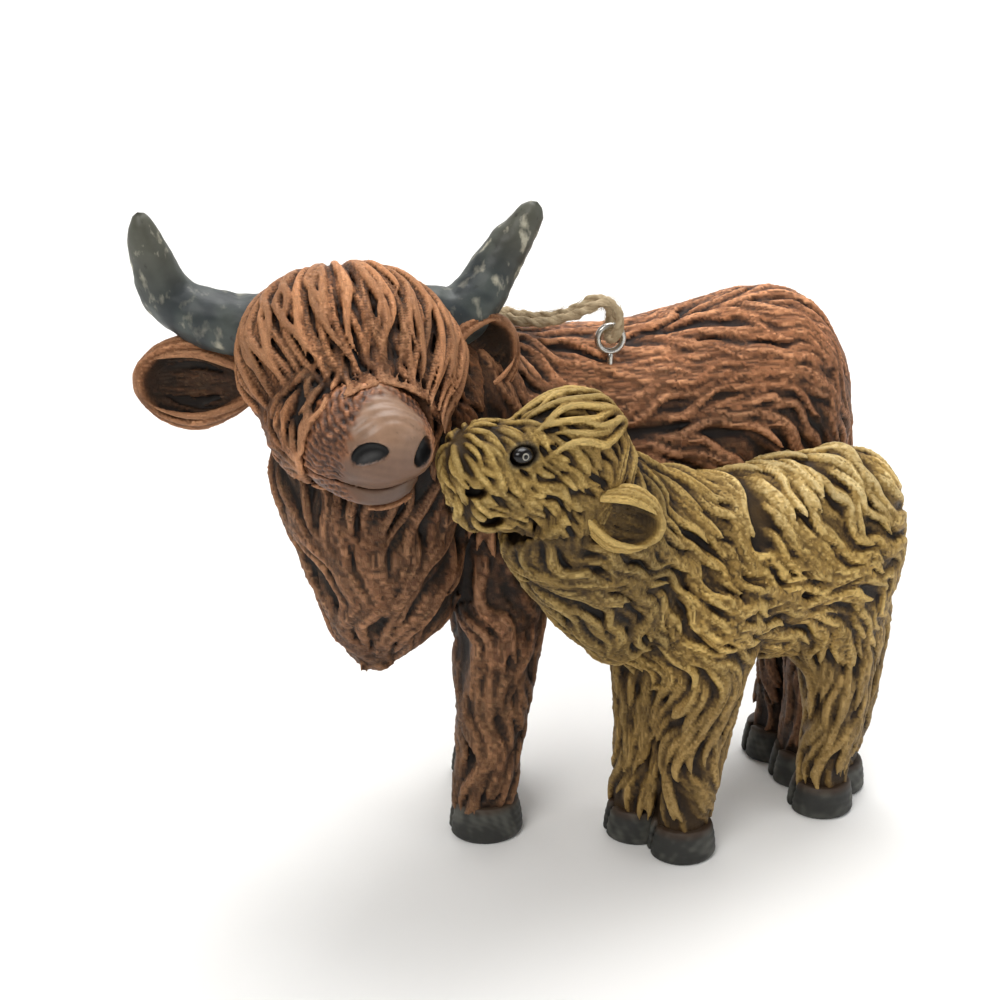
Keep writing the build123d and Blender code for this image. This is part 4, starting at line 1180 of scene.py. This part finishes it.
def horn(name, side, elbow_out, elbow_up, seed, nodes):
    """A tube along the horn's curve, whose radius tapers to a blunt tip and wanders like a carved surface."""
    path = smooth_path([
        (middle_x + side * 7.0, -1.5, 79.2), (middle_x + side * 14.4, -1.5, 79.0),
        (middle_x + side * elbow_out, 0.2, elbow_up), (middle_x + side * 24.6, -1.5, 93.0),
    ], HORN_STEPS)
    length = run_along(path)
    share = length / length[-1]
    radius = HORN_RADIUS * np.interp(share, HORN_PLACES, HORN_SIZES)
    flat = tube(path, radius, HORN_SIDES, NORTH).reshape(HORN_STEPS, HORN_SIDES, 3)
    bump = waves(flat, seed, 0.3) * 0.22 + waves(flat, seed + 5, 0.9) * 0.07
    bumpy = radius[:, None] + bump * np.minimum(1, radius / 2)[:, None]
    points = np.vstack([tube(path, bumpy, HORN_SIDES, NORTH), path[:1], path[-1:]])
    ring = np.arange(HORN_SIDES)
    after = (ring + 1) % HORN_SIDES
    end = (HORN_STEPS - 1) * HORN_SIDES
    first = np.stack([ring, after, 0 * ring + end + HORN_SIDES], -1)
    last = np.stack([end + after, end + ring, 0 * ring + end + HORN_SIDES + 1], -1)
    faces = np.concatenate([triangles(tube_faces(HORN_STEPS, HORN_SIDES)), first, last])[:, ::-1]
    mottled = waves(points, seed + 9, 0.5)
    place = np.append(np.repeat(share, HORN_SIDES), [0.0, 1.0])
    colour = lerp(rgb(42, 48, 50), rgb(70, 76, 73), ease(mottled, -0.8, 0.8))
    colour = lerp(colour, rgb(92, 90, 76), ease(place, 0.5, 0.95) * 0.6)
    chip = 0.25 + 0.75 * ease(place + 0.25 * mottled, 0.35, 0.85)
    marks = {"tint": colour, "height": 0 * mottled, "chip": chip}
    return place_mesh(name, points, faces, horn_paint, marks, nodes)


horn("cow_right_horn_cone", -1, 21.6, 82.6, 3, ["cow_right_horn"])
horn("cow_left_horn_cone", 1, 19.6, 84.6, 4, ["cow_left_horn"])


def hoof(name, x, y, length, width, height, nodes):
    """A hoof that spreads to its sole, is cleft in front, and has faint growth rings."""
    form = Body(turned((x, y, 0.0), EAST, UP), height, length, width, HOOF, 1.0)

    def shape(points, field):
        across = points[..., 1] - y
        ahead = points[..., 0] - x
        cleft = np.hypot(across, 0.6 * np.maximum(0, ahead + 0.30 * length)) - 0.42
        field = -join(-field, cleft, 0.5)
        ring = 0.06 * np.sin(2 * pi * points[..., 2] / 1.1)
        return np.maximum(field + ring, -points[..., 2])

    reach = np.array([length * 0.62, width * 0.65])
    low = np.append((x, y) - reach, -0.5)
    high = np.append((x, y) + reach, height + 0.5)
    points, quads = Grid(low, high, 0.28, [form], 0.0).skin(None, shape)[:2]
    wander = waves(points, int(abs(x * 7)), 0.8)
    colour = lerp(rgb(44, 44, 41), rgb(76, 76, 70), ease(wander, -0.5, 0.9))
    colour = lerp(colour, rgb(64, 46, 30), ease(points[:, 2], height - 1.4, height) * 0.7)
    return place_mesh(name, points, quads, hoof_paint, {"tint": colour, "height": 0 * wander}, nodes)


NAMES = ("left_fore", "right_fore", "left_hind", "right_hind")
for animal, feet, size in (("cow", cow_feet, (10.6, 9.6, 5.6)), ("calf", calf_feet, (9.6, 8.8, 5.0))):
    for name, (x, y) in zip(NAMES, feet):
        hoof(f"{animal}_{name}_hoof_shell", x, y, *size, [f"{animal}_{name}_hoof"])


# Calf's eyes
EYE_RADII, EYE_SET_IN = (1.15, 1.05, 1.5), 0.45
EYE_STEPS, POLE_GAP = 90, 0.02
eye_paint = painted_skin("eye_paint_gloss", 0.3, 0.00001, 0.05)


def eyeball(name, spot, side, nodes):
    """A closed ellipsoid, of rings about the way it looks, dark with a small pale ring that is a painted
    reflection of a lamp.
    """
    polar = np.linspace(POLE_GAP, pi - POLE_GAP, EYE_STEPS)[:, None]
    turn = np.arange(EYE_STEPS) * 2 * pi / EYE_STEPS
    ball = np.stack([
        np.cos(polar) + 0 * turn, np.sin(polar) * np.cos(turn), np.sin(polar) * np.sin(turn)
    ], -1) * EYE_RADII
    axes = np.array([calf_head.x * side, calf_head.y, calf_head.z * side])
    points = spot - calf_head.x * side * EYE_SET_IN + ball.reshape(-1, 3) @ axes
    ring = np.arange(1, EYE_STEPS - 1)
    faces = np.concatenate([
        triangles(tube_faces(EYE_STEPS, EYE_STEPS)),
        np.stack([0 * ring, ring + 1, ring], -1),
        np.stack([0 * ring, ring, ring + 1], -1) + (EYE_STEPS - 1) * EYE_STEPS,
    ])
    # Painted reflection: a thin pale ring just off the eye's middle stands in for a lamp's catchlight.
    offset = points - spot - calf_head.z * 0.15 - calf_head.y * 0.1
    pale = np.abs(np.hypot(offset @ calf_head.z, offset @ calf_head.y) - 0.36) - 0.05
    colour = lerp(rgb(16, 12, 11), rgb(150, 146, 134), ease(-pale, -0.07, 0.02))
    marks = {"tint": colour, "height": np.ones(len(points))}
    return place_mesh(name, points, faces, eye_paint, marks, nodes)


eyeball("calf_left_eyeball", EYE_SPOT, 1, ["calf_left_eye"])
eyeball("calf_right_eyeball", FAR_EYE_SPOT, -1, ["calf_right_eye"])

# Screw eye: a wire ring that stands lengthwise, and its shank
RING_RADIUS, WIRE_RADIUS, RING_STEPS, WIRE_SIDES = 1.8, 0.45, 64, 20
SHANK_STEPS, POINT = 12, 0.01
turn = np.linspace(0, 2 * pi, RING_STEPS + 1)[:-1]
ring_path = EYE_PLACE + RING_RADIUS * np.stack([np.cos(turn), 0 * turn, np.sin(turn)], -1)
wire_ring = rings(
    ring_path, unit(ring_path - EYE_PLACE), np.array(NORTH), np.full((RING_STEPS, 1), WIRE_RADIUS), WIRE_SIDES
)
shank_path = np.linspace(EYE_PLACE - (0, 0, 1.7), EYE_PLACE - (0, 0, 6.5), SHANK_STEPS)
shank_radii = np.full(SHANK_STEPS, WIRE_RADIUS)
shank_radii[[0, -1]] = POINT
points, faces = merged([
    (wire_ring, tube_faces(RING_STEPS, WIRE_SIDES, True)),
    (tube(shank_path, shank_radii, WIRE_SIDES, NORTH), tube_faces(SHANK_STEPS, WIRE_SIDES)),
])
wire = Paint("hanger_wire_bright", {"Metallic": 1.0})
scratch = wire.noise(wire.place(), 900.0, 4.0)
wire_paint = wire.finish({
    "Base Color": wire.mix(scratch, rgb(150, 148, 142), rgb(216, 214, 208)),
    "Roughness": 0.16 + scratch * 0.22,
})
place_mesh("screw_eye_wire", points, faces[:, ::-1], wire_paint, {}, ["screw_eye"])

# Twine
TWINE_ROUTE = (
    (-19.6, 27.0, 58.0), (-20.4, 26.6, 67.0), (-18.6, 23.4, 75.4), (-13.4, 18.2, 79.0), (-5.6, 12.6, 77.2),
    (1.6, 8.4, 75.9), (6.4, 7.2, 77.0), (9.9, 7.1, 79.3), (11.8, 7.2, 76.4), (11.0, 7.1, 73.4),
    (11.0, 3.3, 73.4), (11.9, 3.2, 76.3), (10.2, 3.4, 79.5), (5.8, 4.0, 77.0), (0.0, 5.6, 75.7),
    (-7.0, 10.2, 77.2), (-14.6, 15.6, 79.6), (-20.4, 21.3, 76.4), (-22.6, 25.4, 67.4), (-22.0, 26.8, 58.0),
)
route = (np.array(TWINE_ROUTE) + MOVE) / MM


def route_curve(name, bevel):
    """A quadratic spline through the twine's given route."""
    curve = bpy.data.curves.new(name, "CURVE")
    curve.dimensions = "3D"
    spline = curve.splines.new("NURBS")
    spline.points.add(len(route) - 1)
    spline.points.foreach_set("co", np.column_stack([route, np.ones(len(route))]).ravel())
    spline.order_u = 3
    spline.use_endpoint_u = True
    spline.resolution_u = 14
    curve.bevel_depth = bevel
    curve.bevel_resolution = 4
    curve.use_fill_caps = True
    return placed(name, curve)


def twine_material(name, base, light):
    paint = Paint(name, {"Specular IOR Level": 0.15, "Roughness": 0.85})
    place = paint.place()
    fibre = paint.noise(place, 1400.0, 5.0)
    patch = paint.noise(place, 250.0, 2.0)
    colour = paint.mix(fibre * 1.3 - 0.15, base, light)
    colour = paint.mix(patch * 0.5, colour, rgb(128, 100, 70))
    return paint.finish({"Base Color": colour, "Normal": paint.bump(fibre, 0.7, 0.00015)})


twine_paint = twine_material("jute_paint", rgb(158, 136, 104), rgb(218, 202, 170))
bare = route_curve("twine_line", 0.0)
line = bpy.data.meshes.new_from_object(bare)
centre = np.empty(len(line.vertices) * 3)
line.vertices.foreach_get("co", centre)
centre = centre.reshape(-1, 3) * MM - MOVE
bpy.data.objects.remove(bare)
spread = run_along(centre)
run = np.linspace(0, spread[-1], 700)
centre = np.column_stack([np.interp(run, spread, centre[:, axis]) for axis in range(3)])
along = unit(np.gradient(centre, axis=0))
reference = np.zeros_like(centre)
reference[0] = unit(np.cross(along[0], EAST))
for step in range(1, len(centre)):
    carried = reference[step - 1] - along[step] * (reference[step - 1] @ along[step])
    reference[step] = carried / np.linalg.norm(carried)
binormal = np.cross(along, reference)


def around(index, angle, radius):
    """Points at an angle and a radius round the centre line's points of that index."""
    out = reference[index] * np.cos(angle)[..., None] + binormal[index] * np.sin(angle)[..., None]
    return centre[index] + radius[..., None] * out


# The twine's two plies, whose rings keep the twine's own carried direction
PLY_SIDES, PLY_RADIUS, PLY_OFFSET, PLY_PITCH = 14, 0.40, 0.33, 4.6
ply_parts = []
for ply in range(2):
    angle = 2 * pi * run / PLY_PITCH + ply * pi
    wobble = 0.03 * np.sin(run * 3.1 + ply) + 0.02 * np.sin(run * 7.3)
    path = around(slice(None), angle, PLY_OFFSET + wobble)
    turn = np.arange(PLY_SIDES) * 2 * pi / PLY_SIDES
    radius = PLY_RADIUS + 0.03 * np.sin(5 * turn[None] + run[:, None] * 5.0) + wobble[:, None]
    radius[[0, -1]] = POINT
    way = unit(np.gradient(path, axis=0))
    across = unit(reference - way * (reference * way).sum(-1)[:, None])
    ply_parts.append((
        rings(path, across, np.cross(way, across), radius, PLY_SIDES), tube_faces(len(run), PLY_SIDES)
    ))
plies = place_mesh("twine_plies", *merged(ply_parts), twine_paint, {}, ["twine_loop"], "hanging_twine")

# Loose fibres that stand off the twine
count, samples = 420, 7
start = rng.integers(10, len(run) - 60, count)
length = rng.integers(8, 34, count)
share = np.linspace(0, 1, samples)
index = (start[:, None] + share * length[:, None]).astype(int)
angle = rng.uniform(0, 2 * pi, count)[:, None] + share * rng.uniform(-1.5, 1.5, count)[:, None]
radius = 0.66 + share**1.5 * rng.uniform(0.05, 0.75, count)[:, None]
fibre_path = around(index, angle, radius)
way = unit(np.gradient(fibre_path, axis=1))
across = unit(np.cross(way, np.array([0.3, 0.2, 0.93])))
thin = 0.032 * np.interp(share, (0, 0.2, 0.8, 1), (0.05, 1, 0.8, 0.05))
fibre_points = rings(fibre_path, across, np.cross(way, across), thin[:, None], 3)
fibre_faces = tube_faces(samples, 3)[None] + (np.arange(count) * samples * 3)[:, None, None]
fuzz = place_mesh(
    "twine_fuzz", fibre_points, fibre_faces.reshape(-1, 4), twine_paint, {}, [], "hanging_twine"
)

core = route_curve("twine_core", 0.00053)
core.data.materials.append(twine_paint)
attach(core, "hanging_twine")

# Knot: the twine wound over itself, with its two ends below
middle = (np.array(TWINE_ROUTE[0]) + np.array(TWINE_ROUTE[-1])) / 2 - (0, 0, 2.6)
KNOT_STEPS, TAIL_STEPS, KNOT_SIDES, KNOT_TURNS = 160, 50, 16, 2.0
wind = np.linspace(0, 2 * pi * KNOT_TURNS, KNOT_STEPS)
knot_line = middle + np.stack([
    1.55 * np.cos(wind) + 0.35 * np.cos(wind / 2), 1.45 * np.sin(wind),
    0.8 * np.sin(wind / 2 + 0.4) + 0.3 * np.cos(wind),
], -1)
knot_radius = np.full(KNOT_STEPS, 0.74)
knot_radius[[0, -1]] = POINT
knot_parts = [(tube(knot_line, knot_radius, KNOT_SIDES), tube_faces(KNOT_STEPS, KNOT_SIDES))]
for side in (-1, 1):
    tail = smooth_path([
        middle + (side * 1.0, 0, 0.8), middle + (side * 1.1, 0.3, -2.5), middle + (side * 1.5, 0.5, -5.0),
        middle + (side * 1.3, 0.8, -7.0),
    ], TAIL_STEPS)
    share = np.linspace(0, 1, TAIL_STEPS)
    radius = np.interp(share, (0, 0.05, 0.8, 0.97, 1), (POINT, 0.7, 0.72, 0.85, POINT))
    knot_parts.append((tube(tail, radius, KNOT_SIDES, NORTH), tube_faces(TAIL_STEPS, KNOT_SIDES)))
points, faces = merged(knot_parts)
knot = place_mesh(
    "twine_knot_wound", points, faces[:, ::-1], twine_paint, {}, ["twine_knot"], "hanging_twine"
)

# Floor that sweeps up behind, light and background
bend = np.linspace(0, pi / 2, 16)
curved = np.column_stack([0.55 + 0.3 * np.sin(bend), 0.3 - 0.3 * np.cos(bend)])
profile = np.vstack([[(-2.0, 0.0)], curved, [(0.85, 2.0)]])
sweep_points = [(x, y, z) for x in (-2.5, 2.5) for y, z in profile]
count = len(profile)
sweep_faces = [(i, count + i, count + i + 1, i + 1) for i in range(count - 1)]
stage_mesh = bpy.data.meshes.new("floor")
stage_mesh.from_pydata(sweep_points, [], sweep_faces)
stage_mesh.shade_smooth()
floor = placed("floor", stage_mesh)
floor_paint = Paint(
    "floor_paint", {"Roughness": 0.75, "Specular IOR Level": 0.2, "Base Color": (0.9, 0.9, 0.89, 1)}
)
stage_mesh.materials.append(floor_paint.material)


FIGURINE_MIDDLE = (0, 0, 0.05)


def lamp(name, place, size, power, colour):
    """A square softbox at a place, turned to the figurine."""
    light = bpy.data.lights.new(name, "AREA")
    light.size = size
    light.energy = power
    light.color = colour
    thing = placed(name, light)
    thing.location = place
    thing.rotation_euler = (Vector(FIGURINE_MIDDLE) - Vector(place)).to_track_quat("-Z", "Y").to_euler()


lamp("key", (-0.65, -0.75, 1.1), 0.6, 9.5, (1.0, 0.98, 0.95))
lamp("fill", (1.1, -0.7, 0.6), 0.9, 3.5, (0.96, 0.98, 1.0))
lamp("top", (0.2, 0.3, 1.4), 0.9, 16.0, (1.0, 0.99, 0.98))

# The room is white where the camera sees it, and gives the figurine less light than that
ROOM_LIGHT = 0.3
world = bpy.data.worlds.new("studio")
scene.world = world
world.use_nodes = True
background = world.node_tree.nodes["Background"]
background.inputs["Color"].default_value = (1.0, 1.0, 1.0, 1)
seen = world.node_tree.nodes.new("ShaderNodeLightPath")
strength = world.node_tree.nodes.new("ShaderNodeMath")
strength.operation = "MULTIPLY_ADD"
strength.inputs[1].default_value = 1 - ROOM_LIGHT
strength.inputs[2].default_value = ROOM_LIGHT
world.node_tree.links.new(seen.outputs["Is Camera Ray"], strength.inputs[0])
world.node_tree.links.new(strength.outputs[0], background.inputs["Strength"])
scene.view_settings.view_transform = "Standard"
